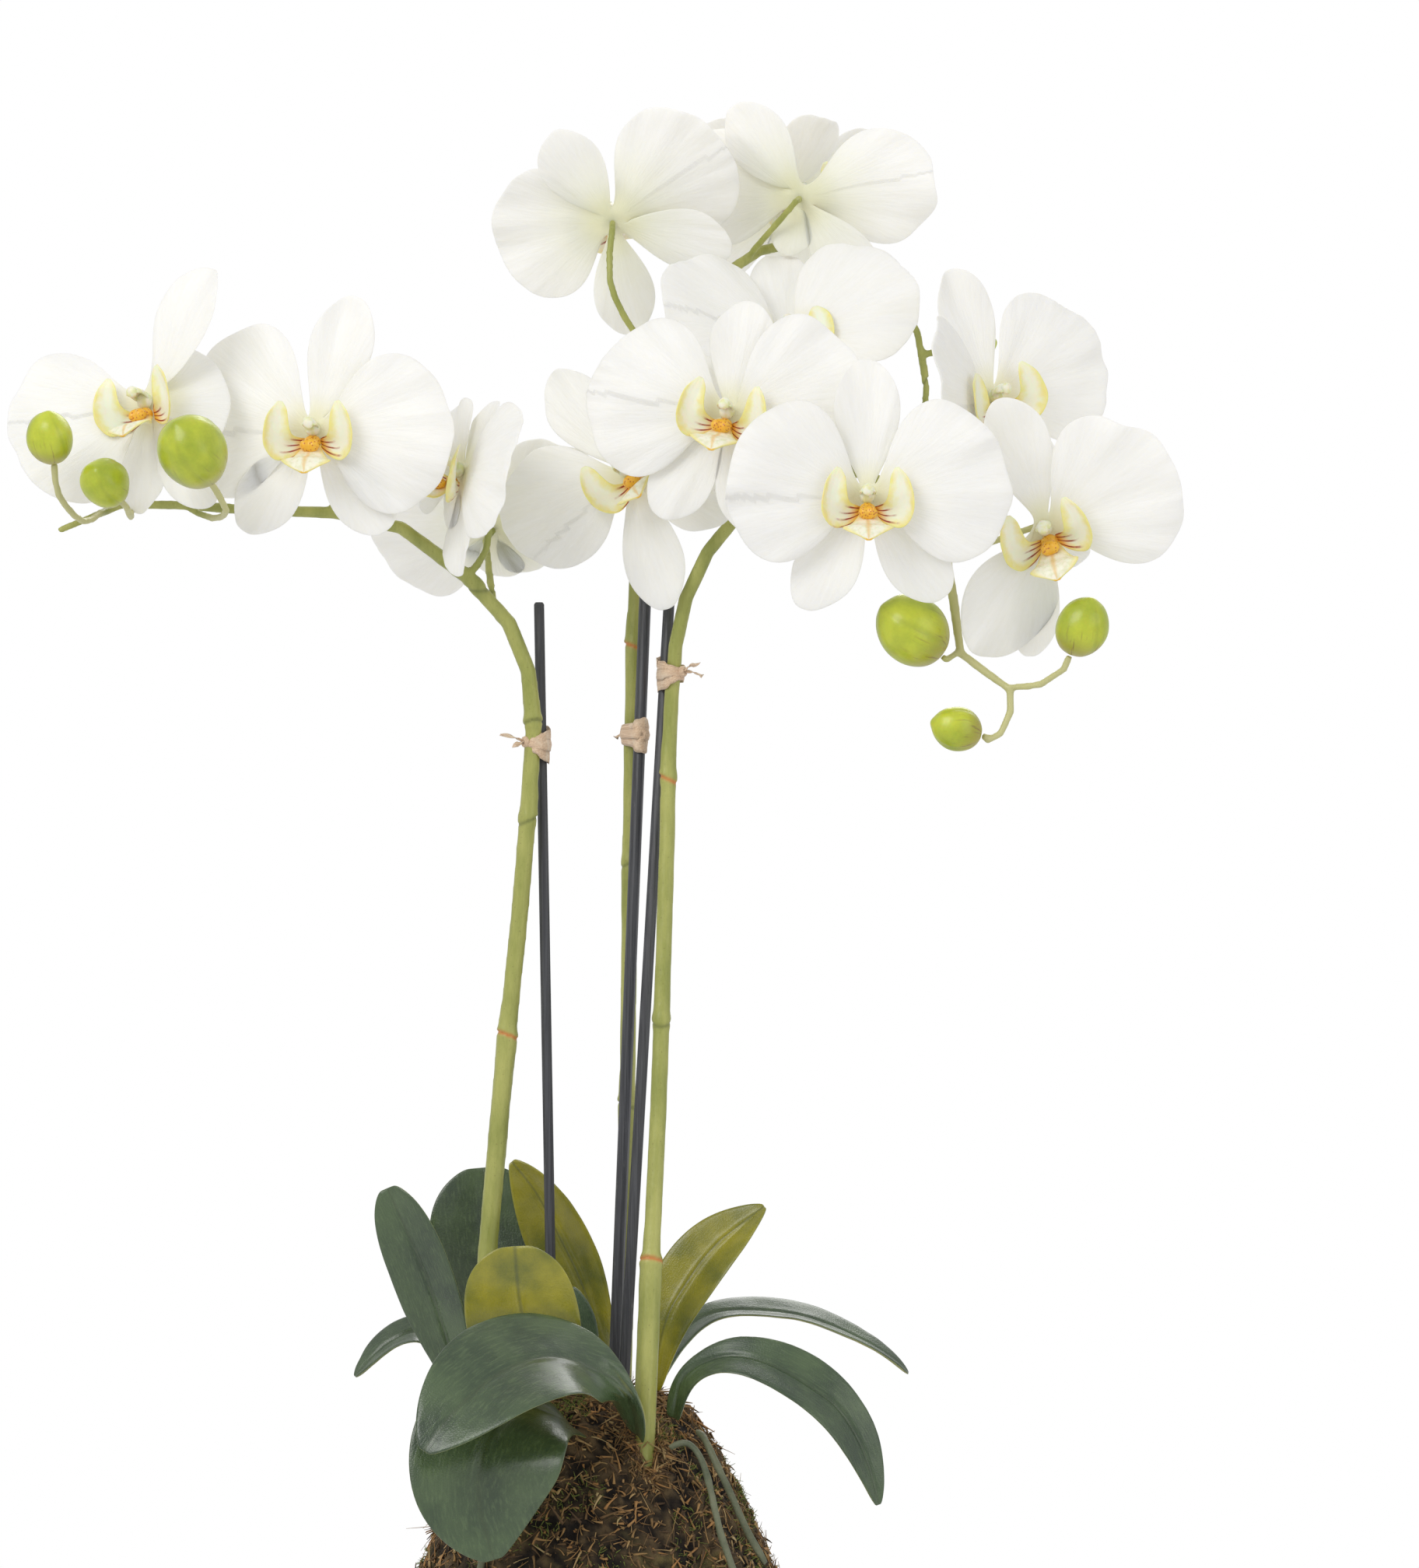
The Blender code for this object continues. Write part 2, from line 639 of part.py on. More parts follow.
def add_bud(name, bud):
    """A pointed egg with three shallow seams, on the end of its stalk."""
    centre, along = bud_pose(bud)
    bm = bmesh.new()
    bmesh.ops.create_uvsphere(bm, u_segments=12, v_segments=7, radius=bud["radius"] * MM)
    for vert in bm.verts:
        turn = math.atan2(vert.co.y, vert.co.x)
        seam = 1 - 0.07 * max(0, math.cos(3 * turn)) ** 2
        vert.co.x *= seam
        vert.co.y *= seam
        vert.co.z *= BUD_LENGTH
    bmesh.ops.rotate(bm, verts=bm.verts, cent=(0, 0, 0), matrix=along.to_track_quat("Z", "Y").to_matrix())
    bmesh.ops.translate(bm, verts=bm.verts, vec=centre * MM)
    add_object(name, finish_mesh(name, bm), "bud")


def add_leaf(name, leaf):
    """A strap leaf: a grid bent along its spine and folded along its midrib."""
    spine = smooth_path(leaf["spine"], 4)
    lengths = [0.0]
    for a, b in zip(spine, spine[1:]):
        lengths.append(lengths[-1] + (b - a).length)
    bm = bmesh.new()
    grid = []
    foot_face, tip_face = (Vector(v).normalized() for v in leaf["face"])
    for part, width in BLUNT_ROWS if leaf.get("blunt") else LEAF_ROWS:
        run = part * lengths[-1]
        i = next(i for i in range(1, len(spine)) if lengths[i] >= run - 1e-6)
        share = (run - lengths[i - 1]) / (lengths[i] - lengths[i - 1])
        place = spine[i - 1].lerp(spine[i], share)
        along = (spine[i] - spine[i - 1]).normalized()
        face = foot_face.lerp(tip_face, part)
        normal = (face - along * face.dot(along)).normalized()
        side = along.cross(normal)
        row = []
        for j in range(5):
            u = j / 2 - 1
            out = side * u * width * leaf["half"] + normal * leaf["fold"] * width * leaf["half"] * abs(u)
            row.append(bm.verts.new((place + out) * MM))
        grid.append(row)
    for low, high in zip(grid, grid[1:]):
        for j in range(4):
            bm.faces.new((low[j], low[j + 1], high[j + 1], high[j]))
    solidify(add_object(name, finish_mesh(name, bm), "leaf"), LEAF)


def pot_profile():
    """Half the wall's outline, from the floor's centre up the inside, over the rim and down the outside."""
    rim, foot, top = POT_RIM_RADIUS, POT_FOOT_RADIUS, POT_HEIGHT
    return [
        (0, POT_FLOOR),
        (foot - POT_WALL - 4, POT_FLOOR),
        (foot - POT_WALL, POT_FLOOR + 4),
        (rim - POT_WALL - 2, top - 22),
        (rim - POT_WALL, top - 3),
        (rim - POT_WALL + 1, top),
        (rim - 1, top),
        (rim, top - 2),
        (rim, top - 14),
        (rim - 2, top - 17),
        (foot + 1.5, 4),
        (foot, 0),
        (0, 0),
    ]


def inner_radius(height):
    """The pot's inner radius at a height."""
    low, high = pot_profile()[2], pot_profile()[3]
    share = (height - low[1]) / (high[1] - low[1])
    return low[0] + share * (high[0] - low[0])


def add_pot():
    bm = bmesh.new()
    verts = [bm.verts.new(vec((radius, 0, height))) for radius, height in pot_profile()]
    for a, b in zip(verts, verts[1:]):
        bm.edges.new((a, b))
    mesh = bpy.data.meshes.new("pot")
    bm.to_mesh(mesh)
    bm.free()
    pot = add_object("pot", mesh, "pot")
    turn = pot.modifiers.new("Turn", "SCREW")
    turn.steps = turn.render_steps = POT_STEPS
    turn.use_merge_vertices = True
    turn.merge_threshold = 0.0001


def moss_mesh():
    """A lumpy dome that fills the pot: a sphere whose rings are moved to the profile."""
    buried = [(inner_radius(z) - 1.5, z) for z in (108, 60, 16)]
    rings = [*MOSS_DOME, *buried, (inner_radius(12) - 7, POT_FLOOR + GAP)]
    bm = bmesh.new()
    bmesh.ops.create_uvsphere(bm, u_segments=MOSS_SIDES, v_segments=len(rings) + 1, radius=1)
    lumps = random.Random(7)
    levels = sorted({round(v.co.z, 4) for v in bm.verts}, reverse=True)
    for vert in bm.verts:
        level = levels.index(round(vert.co.z, 4))
        if level in (0, len(levels) - 1):
            vert.co = vec((0, 0, 218 if level == 0 else POT_FLOOR + GAP))
            continue
        radius, height = rings[level - 1]
        lump = MOSS_LUMP if level <= len(MOSS_DOME) - 1 else 0
        radius += lumps.uniform(-lump, lump)
        height += lumps.uniform(-lump, lump)
        turn = math.atan2(vert.co.y, vert.co.x)
        vert.co = vec((radius * math.cos(turn), radius * math.sin(turn), height))
    return finish_mesh("moss_ball", bm)


def add_moss():
    """The moss ball, with a socket for each stem and stake."""
    moss = add_object("moss_ball", moss_mesh(), "moss")
    for name, spike in SPIKES.items():
        path, radii = spike_line(spike)
        low = [i for i, p in enumerate(path) if p.z < 262]
        line = [path[i] for i in low]
        down = (line[0] - line[1]).normalized()
        line[0] = line[0] + down * GAP
        mesh = tube_mesh(name + "_socket", line, [radii[i] + GAP + 0.1 for i in low])
        boolean(moss, add_object(name + "_socket", mesh), "DIFFERENCE")
    for name, (foot, top, radius) in STAKES.items():
        foot, top = Vector(foot), Vector(top)
        down = (foot - top).normalized()
        line = [foot + down * GAP, foot - down * 80]
        mesh = tube_mesh(name + "_socket", line, [radius + GAP + 0.1] * 2)
        boolean(moss, add_object(name + "_socket", mesh), "DIFFERENCE")


def add_roots():
    """Air roots that lie on the moss, each point held just clear of it."""
    bm = bmesh.new()
    bm.from_mesh(bpy.data.objects["moss_ball"].data)
    surface = BVHTree.FromBMesh(bm)
    bm.free()
    for name, (points, radius) in ROOTS.items():
        path = []
        for place in smooth_path(points, 8):
            near, normal, _, _ = surface.find_nearest(place * MM)
            away = (place * MM - near).dot(normal) / MM
            lift = max(0, radius + 0.8 - away)
            path.append(place + normal * lift)
        add_object(name, tube_mesh(name, path, [radius] * len(path), 1), "root")


def add_stakes():
    for name, (foot, top, radius) in STAKES.items():
        foot, top = Vector(foot), Vector(top)
        along = (top - foot).normalized()
        path = [foot, top - along * 1, top]
        add_object(name, tube_mesh(name, path, [radius, radius, radius - 0.6]), "stake")


def crossing(path, height):
    """Where a path passes a height, and its direction there."""
    after = next(i for i, p in enumerate(path) if p.z > height)
    low, high = path[after - 1], path[after]
    return low.lerp(high, (height - low.z) / (high.z - low.z)), (high - low).normalized()


def add_tie(name, stake_name, spike_name, height, tall, knot):
    """A raffia band round a stake and a stem, with the two loose ends of its knot."""
    foot, top, stake_radius = STAKES[stake_name]
    path, radii = spike_line(SPIKES[spike_name])
    stake_at, stake_way = crossing([Vector(foot), Vector(top)], height)
    stem_at, stem_way = crossing(path, height)
    way = (stake_way + stem_way).normalized()
    frame = way.to_track_quat("Z", "Y").to_matrix()
    inverse = frame.inverted()
    middle = (stake_at + stem_at) / 2
    circles = []
    for place, radius in ((stake_at, stake_radius), (stem_at, 3.9)):
        centre = inverse @ (place - middle)
        for i in range(12):
            turn = 2 * math.pi * i / 12
            reach = radius + 1.5
            circles.append((centre.x + reach * math.cos(turn), centre.y + reach * math.sin(turn)))
    loop = [circles[i] for i in convex_hull_2d([Vector(c) for c in circles])]
    bm = bmesh.new()
    low = [bm.verts.new((middle + frame @ Vector((x, y, -tall / 2))) * MM) for x, y in loop]
    edges = [bm.edges.new((a, b)) for a, b in zip(low, low[1:] + low[:1])]
    made = bmesh.ops.extrude_edge_only(bm, edges=edges)["geom"]
    bmesh.ops.translate(bm, verts=[v for v in made if isinstance(v, bmesh.types.BMVert)], vec=way * tall * MM)
    tie = add_object(name, finish_mesh(name, bm), "raffia")
    solidify(tie, 0.9)
    knot = Vector(knot).normalized()
    flat = inverse @ knot
    reach = max(x * flat.x + y * flat.y for x, y in loop)
    start = middle + knot * (reach - 0.2)
    for i, drop in enumerate((-0.9, 0.7)):
        tail = [start, start + knot * 4, start + knot * 7 + Vector((0, 0, drop * 8))]
        helper = f"{name}_tail_{i + 1}"
        mesh = tube_mesh(helper, tail, [1.3, 1.1, 0.8], 0)
        boolean(tie, add_object(helper, mesh), "UNION")


clear_scene()
PARTS = collection("Potted orchid")
HELPERS = collection("Cutters", helper=True)
add_pot()
add_moss()
add_roots()
add_stakes()
add_spikes()
for name, leaf in LEAVES.items():
    add_leaf(name, leaf)
for name, bud in BUDS.items():
    add_bud(name, bud)
for name, flower in FLOWERS.items():
    add_flower(name, flower)
    add_lip(name, flower)
for name, (stake, spike, height, tall, knot) in TIES.items():
    add_tie(name, stake, spike, height, tall, knot)
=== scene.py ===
# %% [markdown]
# # A potted moth orchid
# This lesson dresses a plain solid model of a moth orchid: three staked flower spikes, strap
# leaves, air roots and a moss ball in a round pot. The solid model fixes every size and place.
# Each step below takes one kind of piece, gives it its living surface, and gives it a material.

import math
import random

import bmesh
import bpy
import numpy as np
from mathutils import Matrix, Vector, noise


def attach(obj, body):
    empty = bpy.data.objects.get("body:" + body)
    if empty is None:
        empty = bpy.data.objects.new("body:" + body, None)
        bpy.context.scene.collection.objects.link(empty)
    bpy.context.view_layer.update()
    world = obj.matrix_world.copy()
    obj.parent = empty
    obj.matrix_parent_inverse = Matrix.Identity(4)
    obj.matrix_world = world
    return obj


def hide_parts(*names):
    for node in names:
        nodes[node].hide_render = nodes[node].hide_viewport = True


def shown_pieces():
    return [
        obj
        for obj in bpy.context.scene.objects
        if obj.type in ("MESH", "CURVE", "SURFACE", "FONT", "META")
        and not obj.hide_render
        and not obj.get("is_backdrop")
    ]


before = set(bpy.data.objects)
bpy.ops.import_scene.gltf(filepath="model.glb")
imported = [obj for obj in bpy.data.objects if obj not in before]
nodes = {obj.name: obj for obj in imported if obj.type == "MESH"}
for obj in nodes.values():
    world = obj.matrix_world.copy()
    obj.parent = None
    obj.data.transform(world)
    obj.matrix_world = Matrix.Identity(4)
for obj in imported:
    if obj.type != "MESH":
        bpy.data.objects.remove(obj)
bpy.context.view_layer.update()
MM = 0.001

# %% [markdown]
# ## Helpers for shaping
# A solid from the frame is loose triangles. A copy of it is merged and its triangle pairs are
# joined to quads, because a subdivision surface bends smoothly only over quads that share their
# corners. The original is never touched.


# %% Copies, subdivision and point moves
def only(obj):
    """Selects one object and nothing else."""
    bpy.ops.object.select_all(action="DESELECT")
    obj.select_set(True)
    bpy.context.view_layer.objects.active = obj


def new_object(name, data):
    """An object in the scene that holds this mesh, lamp or camera."""
    obj = bpy.data.objects.new(name, data)
    bpy.context.scene.collection.objects.link(obj)
    return obj


def working_copy(node, name):
    """A merged copy of a solid from the frame, mostly in quads, with no material yet."""
    obj = new_object(name, nodes[node].data.copy())
    obj.data.materials.clear()
    only(obj)
    if obj.data.has_custom_normals:
        bpy.ops.mesh.customdata_custom_splitnormals_clear()
    bpy.ops.object.mode_set(mode="EDIT")
    bpy.ops.mesh.select_all(action="SELECT")
    bpy.ops.mesh.remove_doubles(threshold=0.00001)
    bpy.ops.mesh.tris_convert_to_quads(face_threshold=math.radians(50), shape_threshold=math.radians(75))
    bpy.ops.object.mode_set(mode="OBJECT")
    return obj


def apply(obj, kind, **settings):
    """Adds a modifier with these settings and applies it."""
    only(obj)
    modifier = obj.modifiers.new(kind.title(), kind)
    for key, value in settings.items():
        setattr(modifier, key, value)
    bpy.ops.object.modifier_apply(modifier=modifier.name)


def subdivide(obj, levels):
    apply(obj, "SUBSURF", levels=levels, render_levels=levels)


def points(obj):
    """The object's points, in millimetres."""
    flat = np.empty(len(obj.data.vertices) * 3)
    obj.data.vertices.foreach_get("co", flat)
    return flat.reshape(-1, 3) / MM


def put_points(obj, places):
    obj.data.vertices.foreach_set("co", (places * MM).ravel())
    obj.data.update()


def point_normals(obj):
    flat = np.empty(len(obj.data.vertices) * 3)
    obj.data.vertex_normals.foreach_get("vector", flat)
    return flat.reshape(-1, 3)


def note(obj, name, values):
    """Stores one number, or one vector, for each point, for its material to read."""
    values = np.asarray(values, float)
    kind, field = ("FLOAT", "value") if values.ndim == 1 else ("FLOAT_VECTOR", "vector")
    obj.data.attributes.new(name, kind, "POINT").data.foreach_set(field, values.ravel())


def ripple(places, size, seed=0):
    """Smooth noise between about -1 and 1 at each place, with bumps of about this size."""
    shift = Vector((seed * 7.3, seed * 3.1, seed * 5.7))
    return np.array([noise.noise(Vector(p) / size + shift) for p in places])


def finish_piece(obj, material, slot, *replaced):
    """Gives a finished piece its material, its place in the frame and the solids that it stands for."""
    if material:
        obj.data.materials.append(material)
    only(obj)
    bpy.ops.object.shade_smooth()
    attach(obj, "root")
    if replaced:
        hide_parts(*replaced)
    return obj


print("helpers ready")

# %% [markdown]
# ## Helpers for materials
# Every finish is built from the same few nodes: a place to read from, noise, a colour ramp, a mix
# and a bump. Short helpers keep each finish readable. The cloudy colour, which most finishes need,
# is a node group that only puts out a colour and a mask.


# %% Node helpers
class Finish:
    """A material and short ways to add nodes to it."""

    def __init__(self, name, **surface):
        self.material = bpy.data.materials.new(name)
        self.material.use_nodes = True
        self.tree = self.material.node_tree
        self.shader = self.tree.nodes["Principled BSDF"]
        for key, value in surface.items():
            self.shader.inputs[key.replace("_", " ").title().replace("Ior", "IOR")].default_value = value

    def node(self, kind, links=None, **settings):
        made = self.tree.nodes.new("ShaderNode" + kind)
        for key, value in settings.items():
            setattr(made, key, value)
        for key, value in (links or {}).items():
            if isinstance(value, bpy.types.NodeSocket):
                self.tree.links.new(value, made.inputs[key])
            else:
                made.inputs[key].default_value = value
        return made

    def place(self):
        return self.node("TexCoord").outputs["Object"]

    def uv(self):
        return self.node("TexCoord").outputs["UV"]

    def attribute(self, name, output="Fac"):
        return self.node("Attribute", attribute_name=name).outputs[output]

    def scaled(self, vector, scale):
        return self.node("Mapping", {"Vector": vector, "Scale": scale}).outputs["Vector"]

    def noise(self, vector, scale, detail=3.0, rough=0.5):
        return self.node(
            "TexNoise", {"Vector": vector, "Scale": scale, "Detail": detail, "Roughness": rough},
        ).outputs["Fac"]

    def cells(self, vector, scale):
        return self.node("TexVoronoi", {"Vector": vector, "Scale": scale}).outputs["Distance"]

    def fade(self, value, low, high):
        """0 below low, 1 above high, smooth between."""
        return self.node(
            "MapRange", {"Value": value, "From Min": low, "From Max": high},
            interpolation_type="SMOOTHSTEP",
        ).outputs["Result"]

    def maths(self, operation, a, b=0.0):
        return self.node("Math", {0: a, 1: b}, operation=operation).outputs[0]

    def times(self, a, b):
        return self.maths("MULTIPLY", a, b)

    def plus(self, a, b):
        return self.maths("ADD", a, b)

    def off_middle(self, share):
        """How far a share of 0 to 1 is from a half."""
        return self.maths("ABSOLUTE", self.plus(share, -0.5))

    def parts(self, vector):
        """The three numbers of a vector."""
        return self.node("SeparateXYZ", {0: vector}).outputs[:]

    def pair(self, x, y):
        return self.node("CombineXYZ", {0: x, 1: y}).outputs[0]

    def mix(self, share, a, b):
        """The colour a where the share is 0, and b where it is 1."""
        made = self.node("Mix", data_type="RGBA")
        for key, value in ((0, share), (6, a), (7, b)):
            if isinstance(value, bpy.types.NodeSocket):
                self.tree.links.new(value, made.inputs[key])
            else:
                made.inputs[key].default_value = value if key == 0 else (*value, 1)
        return made.outputs[2]

    def group(self, tree, **values):
        made = self.node("Group")
        made.node_tree = tree
        for key, value in values.items():
            key = key.replace("_", " ").title()
            if isinstance(value, bpy.types.NodeSocket):
                self.tree.links.new(value, made.inputs[key])
            else:
                made.inputs[key].default_value = value
        return made.outputs

    def colour(self, socket):
        self.tree.links.new(socket, self.shader.inputs["Base Color"])

    def roughness(self, value, low, high):
        """Roughness from low to high, as the value goes from 0 to 1."""
        made = self.node("MapRange", {"Value": value, "To Min": low, "To Max": high})
        self.tree.links.new(made.outputs["Result"], self.shader.inputs["Roughness"])

    def bump(self, height, distance, strength=1.0):
        made = self.node("Bump", {"Height": height, "Distance": distance, "Strength": strength})
        self.tree.links.new(made.outputs["Normal"], self.shader.inputs["Normal"])


def new_group(name, inputs, outputs):
    """A node group with these named inputs (name: (type, value)) and outputs (name: type)."""
    tree = bpy.data.node_groups.new(name, "ShaderNodeTree")
    for label, (kind, value) in inputs.items():
        socket = tree.interface.new_socket(label, in_out="INPUT", socket_type="NodeSocket" + kind)
        if value is not None:
            socket.default_value = value
    for label, kind in outputs.items():
        tree.interface.new_socket(label, in_out="OUTPUT", socket_type="NodeSocket" + kind)
    return tree, tree.nodes.new("NodeGroupInput"), tree.nodes.new("NodeGroupOutput")


print("node helpers ready")


# %% Cloudy colour, as a node group
def make_cloudy():
    """Two tints of one colour in soft clouds with finer specks, as plants and stoneware have."""
    tree, given, out = new_group(
        "cloudy colour",
        {
            "Vector": ("Vector", None), "Light": ("Color", (1, 1, 1, 1)),
            "Dark": ("Color", (0, 0, 0, 1)), "Cloud Scale": ("Float", 30.0),
            "Speck Scale": ("Float", 400.0), "Speck": ("Float", 0.2),
        },
        {"Color": "Color", "Mask": "Float"},
    )
    link = tree.links.new
    cloud = tree.nodes.new("ShaderNodeTexNoise")
    cloud.inputs["Detail"].default_value = 4
    speck = tree.nodes.new("ShaderNodeTexNoise")
    speck.inputs["Detail"].default_value = 2
    link(given.outputs["Vector"], cloud.inputs["Vector"])
    link(given.outputs["Vector"], speck.inputs["Vector"])
    link(given.outputs["Cloud Scale"], cloud.inputs["Scale"])
    link(given.outputs["Speck Scale"], speck.inputs["Scale"])
    spread = tree.nodes.new("ShaderNodeMapRange")
    spread.inputs["From Min"].default_value = 0.35
    spread.inputs["From Max"].default_value = 0.65
    link(cloud.outputs["Fac"], spread.inputs["Value"])
    blend = tree.nodes.new("ShaderNodeMix")
    link(given.outputs["Speck"], blend.inputs["Factor"])
    link(spread.outputs["Result"], blend.inputs["A"])
    link(speck.outputs["Fac"], blend.inputs["B"])
    tint = tree.nodes.new("ShaderNodeMix")
    tint.data_type = "RGBA"
    link(blend.outputs["Result"], tint.inputs[0])
    link(given.outputs["Dark"], tint.inputs[6])
    link(given.outputs["Light"], tint.inputs[7])
    link(tint.outputs[2], out.inputs["Color"])
    link(blend.outputs["Result"], out.inputs["Mask"])
    return tree


cloudy = make_cloudy()


def clouds(f, light, dark, cloud_scale, speck_scale, speck, place=None):
    """The cloudy colour in a finish: its two tints, the scales of cloud and speck, the specks' share."""
    return f.group(
        cloudy, vector=f.place() if place is None else place, light=(*light, 1), dark=(*dark, 1),
        cloud_scale=cloud_scale, speck_scale=speck_scale, speck=speck,
    )["Color"]


print("group:", cloudy.name)

# %% [markdown]
# ## The flowers' poses
# Every flower has a hub, a way it faces and a turn in its own plane. A pattern such as petal veins
# fans out from the hub, so each piece of a flower needs to know its place in the flower's own
# axes: +Z is the way it faces and +Y its upper sepal.

# %% Hubs, facings and turns
BLOOMS = {
    "left_1": ((-44, 42, 577), (160, 30), 12),
    "left_2": ((-54, -24, 596), (-64, 15), 12),
    "left_3": ((-114, -44, 613), (-8, -2), 0),
    "left_4": ((-180, -52, 623), (-30, 8), -12),
    "middle_1": ((14, -8, 598), (-18, 5), -42),
    "middle_2": ((79, 22, 653), (5, 40), 0),
    "middle_3": ((6, 40, 706), (180, 25), 34),
    "middle_4": ((85, 52, 717), (170, 12), 10),
    "middle_5": ((78, 118, 722), (200, 50), 0),
    "right_1": ((54, -52, 619), (-10, 5), 10),
    "right_2": ((110, -76, 584), (0, 0), 0),
    "right_3": ((163, -8, 628), (32, 5), -14),
    "right_4": ((183, -52, 573), (-5, -15), -18),
}


def bloom_axes(bloom):
    """The flower's own axes as a matrix, in millimetres."""
    hub, facing, turn = BLOOMS[bloom]
    azimuth, rise = (math.radians(a) for a in facing)
    face = Vector((math.sin(azimuth) * math.cos(rise), -math.cos(azimuth) * math.cos(rise), math.sin(rise)))
    up = (Vector((0, 0, 1)) - face * face.z).normalized()
    axes = Matrix((up.cross(face), up, face)).transposed() @ Matrix.Rotation(-math.radians(turn), 3, "Z")
    axes = axes.to_4x4()
    axes.translation = Vector(hub)
    return axes


def to_bloom(bloom, places):
    """Places in the row frame as places in the flower's own axes."""
    turn = np.array(bloom_axes(bloom))
    return (places - turn[:3, 3]) @ turn[:3, :3]


def from_bloom(bloom, places):
    """Places in the flower's own axes as places in the row frame."""
    turn = np.array(bloom_axes(bloom))
    return places @ turn[:3, :3].T + turn[:3, 3]


print(len(BLOOMS), "flowers")

# %% [markdown]
# ## Petal finish
# A moth orchid's petal is white and a little see-through, with fine veins that fan out from the hub, a warm
# grey tone in broad streaks along them, a yellow-green flush close to the hub and a faint sparkle. Painted
# shade darkens its faces that turn away from the flower's front to olive near the hub.
# The veins follow the angle round the hub, stretched far along the radius, so noise read in those
# two numbers gives long strands. They show in colour and in a shallow bump.


# %% Petal material
def make_petal():
    f = Finish("petal", roughness=0.5, subsurface_weight=0.5, subsurface_scale=0.006)
    f.shader.inputs["Subsurface Radius"].default_value = (1.0, 0.9, 0.7)
    spread = f.attribute("spread")
    veins = f.attribute("veins", "Vector")
    strands = f.noise(f.scaled(veins, (1.0, 0.05, 1.0)), 1.6, 3, 0.6)
    broad = f.noise(f.scaled(veins, (1.0, 0.08, 1.0)), 0.35, 2)
    vein = f.fade(strands, 0.35, 0.72)
    tone = f.mix(f.times(vein, 0.35), (0.965, 0.95, 0.905), (0.90, 0.875, 0.80))
    tone = f.mix(f.times(f.fade(broad, 0.4, 0.7), 0.25), tone, (0.90, 0.885, 0.80))
    flush = f.times(f.fade(spread, 19.0, 5.0), 0.6)
    tone = f.mix(flush, tone, (0.84, 0.80, 0.42))
    # Painted shade: faces turned away from the flower's front are darkened to olive near the hub.
    back = f.attribute("back")
    shade = f.times(back, f.fade(spread, 42.0, 8.0))
    tone = f.mix(f.times(shade, 0.5), tone, (0.78, 0.80, 0.52))
    f.colour(tone)
    fine = f.noise(f.place(), 2500, 2)
    f.bump(f.plus(strands, f.times(fine, 0.12)), 0.0006, 0.5)
    return f.material


petal = make_petal()
print("finish:", petal.name)

# %% [markdown]
# ## Petals and sepals
# The solid flower already has its five lobes in place. Three levels of subdivision round them off.
# Real petals are never flat: broad waves run to the edge, and shallow pleats fan out from the hub.
# Each point is moved along the flower's facing by an amount that grows with its distance from the
# hub, and front and back move together, so the petal keeps its thickness. The two broad petals lie
# a little in front of the three sepals, so they are told apart first.


# %% Shape the flowers
HUB_RADIUS = 6.5  # mm, where the lobes part
SEPAL_POINTS = 35  # the most points that a sepal's solid has
APART = 3.2  # mm from the sepals to the petals in front of them


def mark_petals(obj, bloom):
    """Marks the points of the two broad petals, whose lobes have more points than the sepals'."""
    bm = bmesh.new()
    bm.from_mesh(obj.data)
    own = to_bloom(bloom, points(obj))
    free = {v for v in bm.verts if np.hypot(*own[v.index][:2]) > HUB_RADIUS}
    petal_share = np.full(len(bm.verts), 0.5)
    while free:
        lobe, rim = [], [free.pop()]
        while rim:
            vert = rim.pop()
            lobe.append(vert.index)
            near = [e.other_vert(vert) for e in vert.link_edges if e.other_vert(vert) in free]
            free.difference_update(near)
            rim += near
        petal_share[lobe] = len(lobe) > SEPAL_POINTS
    bm.free()
    note(obj, "petal", petal_share)


def shape_flower(bloom, seed):
    node = "flower_" + bloom
    obj = working_copy(node, "petals_" + bloom)
    mark_petals(obj, bloom)
    own = to_bloom(bloom, points(obj))
    reach = np.hypot(own[:, 0], own[:, 1])
    own[:, :2] *= (1 + 0.045 * np.clip(reach / 50, 0, 1))[:, None]
    put_points(obj, from_bloom(bloom, own))
    subdivide(obj, 3)
    own = to_bloom(bloom, points(obj))
    face = point_normals(obj) @ np.array(bloom_axes(bloom))[:3, 2]
    is_petal = np.empty(len(own))
    obj.data.attributes["petal"].data.foreach_get("value", is_petal)
    reach = np.hypot(own[:, 0], own[:, 1])
    angle = np.arctan2(own[:, 1], own[:, 0])
    far = np.clip((reach - 8) / 45, 0, 1)
    ring = np.stack([np.cos(angle) * 2.2, np.sin(angle) * 2.2, reach / 60], 1)
    waves = ripple(ring, 0.75, seed) * 4.6 * far**1.5
    ruffle = ripple(ring * (2.6, 2.6, 1), 1.0, seed + 8) * 1.9 * far**3
    pleats = ripple(ring * (6, 6, 0.8), 1.0, seed + 3) * 0.7 * far
    dents = ripple(own[:, :2] @ np.eye(2, 3), 21, seed + 5) * 2.4 * far
    apart = APART * (is_petal - 0.5) * np.clip((reach - 7) / 14, 0, 1)
    own[:, 2] += waves + ruffle + pleats + dents + apart
    own[:, :2] *= (1 + 0.035 * ripple(ring * (1.6, 1.6, 0), 1.0, seed + 11) * far)[:, None]
    put_points(obj, from_bloom(bloom, own))
    note(obj, "spread", reach)
    # back marks the faces turned away from the flower's front, where the petal's painted shade goes.
    note(obj, "back", (face < 0).astype(float))
    note(obj, "veins", np.stack([angle * 16, reach, np.zeros(len(reach))], 1))
    return finish_piece(obj, petal, "petal", node)


for number, bloom in enumerate(BLOOMS):
    shape_flower(bloom, number + 1)
print("flowers shaped:", len(BLOOMS))

# %% [markdown]
# ## Lip finishes
# The lip is the third petal, grown into a landing stage for insects. Its two wings are cream with
# yellow margins and red-brown streaks inside their base, the bump between them is orange, and the
# tongue is cream to grey-green with an orange point. The column above is cream with a pale cap.
# Each blade's own UV map runs from its foot (V 0) to its tip (V 1), so the margins follow the edge.


